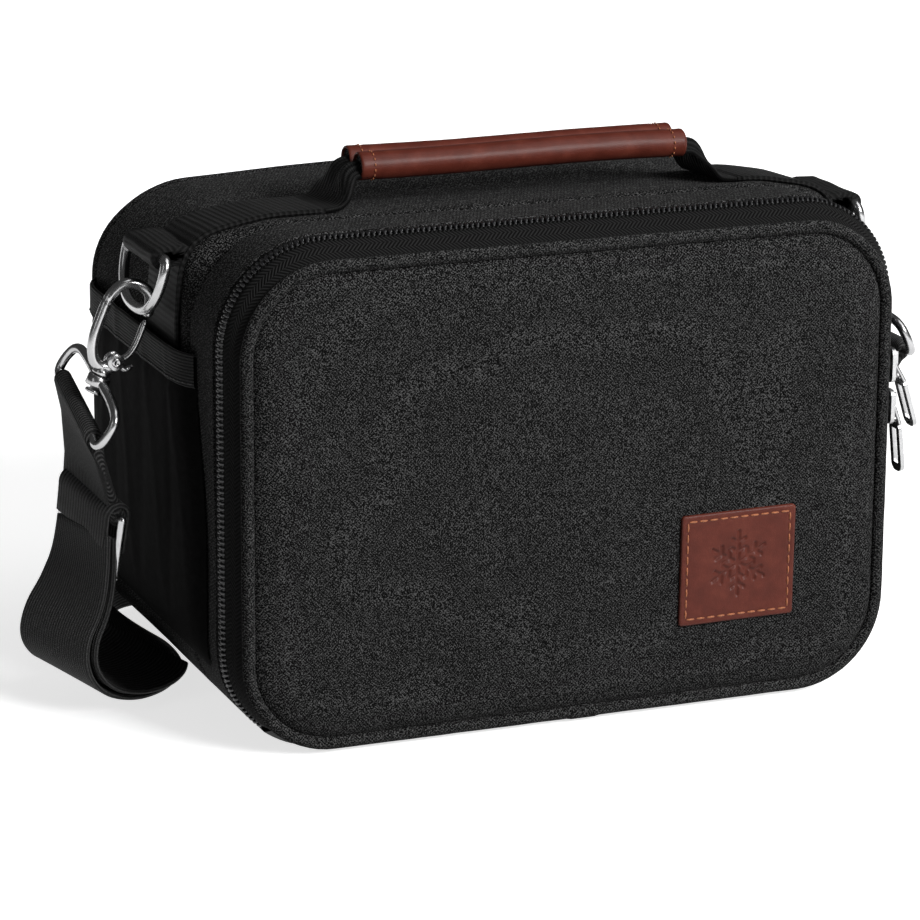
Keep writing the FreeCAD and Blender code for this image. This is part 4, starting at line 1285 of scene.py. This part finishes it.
def swivel_ring(side):
    """Oval ring under the hook, with the boss that turns on the hook's post."""
    world, way = placed(side, HOOK_LEAN, HOOK_MIDDLE)

    def turned(y, z):
        p = ring_turn(side) @ Vector((0.0, y, z))
        return world(p.x, p.y, p.z - RING_BELOW_HOOK)

    half = [(5.0, 0.8), (14.0, 1.2), (23.2, -0.6), (25.2, -8.0), (23.6, -15.2), (15.0, -14.0)]
    ring = half + [(-y, z) for y, z in reversed(half)]
    rows = tube_rows(closed_line([turned(y, z) for y, z in ring], side + "_bow_line"), 1.9, True)
    axis, across = way(0.0, 0.0, 1.0), way(0.0, 1.0, 0.0)
    boss = lathe(world(0.0, 0.0, -RING_BELOW_HOOK), axis, across,
                 [(-2.2, 2.1), (-2.2, 4.0), (-1.8, 4.5), (1.8, 4.5), (2.2, 4.0), (2.2, 2.1)])
    metal_piece(side + "_swivel_bow", [rows + [rows[0]], boss], "root", side + "_swivel_ring")


# Turned pieces of the hook as (height, radius): its swivel post, one ear of the gate's pin, one rivet head.
HOOK_POST = [(-26.9, 0.1), (-26.9, 3.0), (-26.6, 3.4), (-25.8, 3.4), (-25.5, 3.0), (-25.5, 2.0), (-19.4, 2.0),
             (-19.4, 3.3), (-19.0, 3.6), (-17.6, 3.6), (-17.2, 3.3), (-16.0, 2.2)]
HOOK_EAR = [(1.6, 0.1), (1.6, 3.1), (1.8, 3.4), (2.8, 3.4), (3.0, 3.1), (3.0, 0.1)]
RIVET_HEAD = [(2.9, 1.95), (3.35, 1.95), (3.7, 1.3), (3.72, 0.9), (3.45, 0.7), (3.45, 0.1)]


def hook_thick(t):
    """Radius of the hook's wire, from its tip at 0 to its post at 1, with the notch at its shoulder."""
    end = 0.55 + 0.45 * min(1.0, t / 0.02)
    notch = 1.0 - 0.16 * bump_at(t, 0.47, 0.008)
    return 2.15 * end * notch * (1.0 + 0.18 * smooth(0.75, 1.0, t))


def snap_hook(side):
    """Hook with its swivel post and ears, the rivet through them, and the sprung gate on the rivet."""
    world, way = placed(side, HOOK_LEAN, HOOK_MIDDLE)
    axis, across = way(0.0, 0.0, 1.0), way(0.0, 1.0, 0.0)
    pin = world(3.0, 0.0, -12.5)

    def wire(name, course):
        return evaluated([world(x, 0.0, z) for x, z in course], side + name)

    def on_pin(profile):
        return [lathe(pin, across * s, axis, profile) for s in (-1.0, 1.0)]

    def closed_tip(line, radius, thin, share, flat):
        """Wire that narrows to the share thin of its radius over its last stretch, and is closed there."""
        rows = tube_rows(line, lambda t: radius * mix(thin, 1.0, min(1.0, (1.0 - t) / share)), flat=flat)
        return rows + [[line[-1]] * WIRE_SIDES]

    line = wire("_hook_line", [(8.0, 7.9), (8.0, 12.4), (4.8, 18.2), (-4.8, 18.4), (-9.4, 11.0), (-9.2, 1.0),
                               (-8.6, -8.0), (-5.0, -15.6), (0.6, -16.8), (3.2, -14.4)])
    hook = [[line[0]] * WIRE_SIDES] + tube_rows(line, hook_thick)
    post = lathe(world(0.0, 0.0, 0.0), axis, across, HOOK_POST)
    metal_piece(side + "_hook_wire", [hook, post] + on_pin(HOOK_EAR), side + "_hook", side + "_hook_body")
    metal_piece(side + "_rivet_heads", on_pin(RIVET_HEAD), side + "_hook", side + "_gate_rivet")
    arm = wire("_gate_line", [(3.4, -12.2), (6.6, -10.6), (8.5, -5.0), (8.4, 2.0), (8.2, 6.5)])
    thumb = wire("_lever_line", [(4.4, -12.6), (7.2, -14.2), (9.6, -13.6), (10.6, -11.6)])
    eye = lathe(pin, across, axis, [(-1.4, 0.1), (-1.4, 2.6), (1.4, 2.6), (1.4, 0.1)])
    parts = [closed_tip(arm, 1.55, 0.5, 0.06, 0.85), closed_tip(thumb, 1.3, 0.45, 0.2, 0.8), eye]
    metal_piece(side + "_gate_arm", parts, side + "_gate", side + "_hook_gate")


# ---- carried-over pieces
def finish_frame_pieces():
    """Materials for the CAD pieces that stay as they are."""
    kept = [
        (CHROME, ["strap_adjuster"]),
        (NICKEL, ["upper_slider", "lower_slider", "upper_pull_tab", "lower_pull_tab"]),
        (LINING, ["inner_lining", "flap_lining"]),
        (FOAM, ["gusset_foam", "back_foam", "flap_foam"]),
        (PLAIN_CANVAS, ["handle_core"]),
        (COIL, ["zip_end_stops"]),
    ]
    for material, names in kept:
        for obj in (NODES[name] for name in names):
            if not obj.material_slots:
                obj.data.materials.append(material)
            for slot in obj.material_slots:
                slot.material = material


camera()
strap, inner, line = shoulder_strap()
left_loop, right_loop = strap_ends()
[tuple(p * MM) for p in line]
strap_turn()
shell()
flap_face()
piping()
leather_patch()
zipper()
hinge_strip()
for name in ("left", "right"):
    pocket(name)
    side_strap(name)
    leg(name)
    ring_tab(name)
    d_ring(name)
    swivel_ring(name)
    snap_hook(name)
grip()
finish_frame_pieces()
floor()
lights()
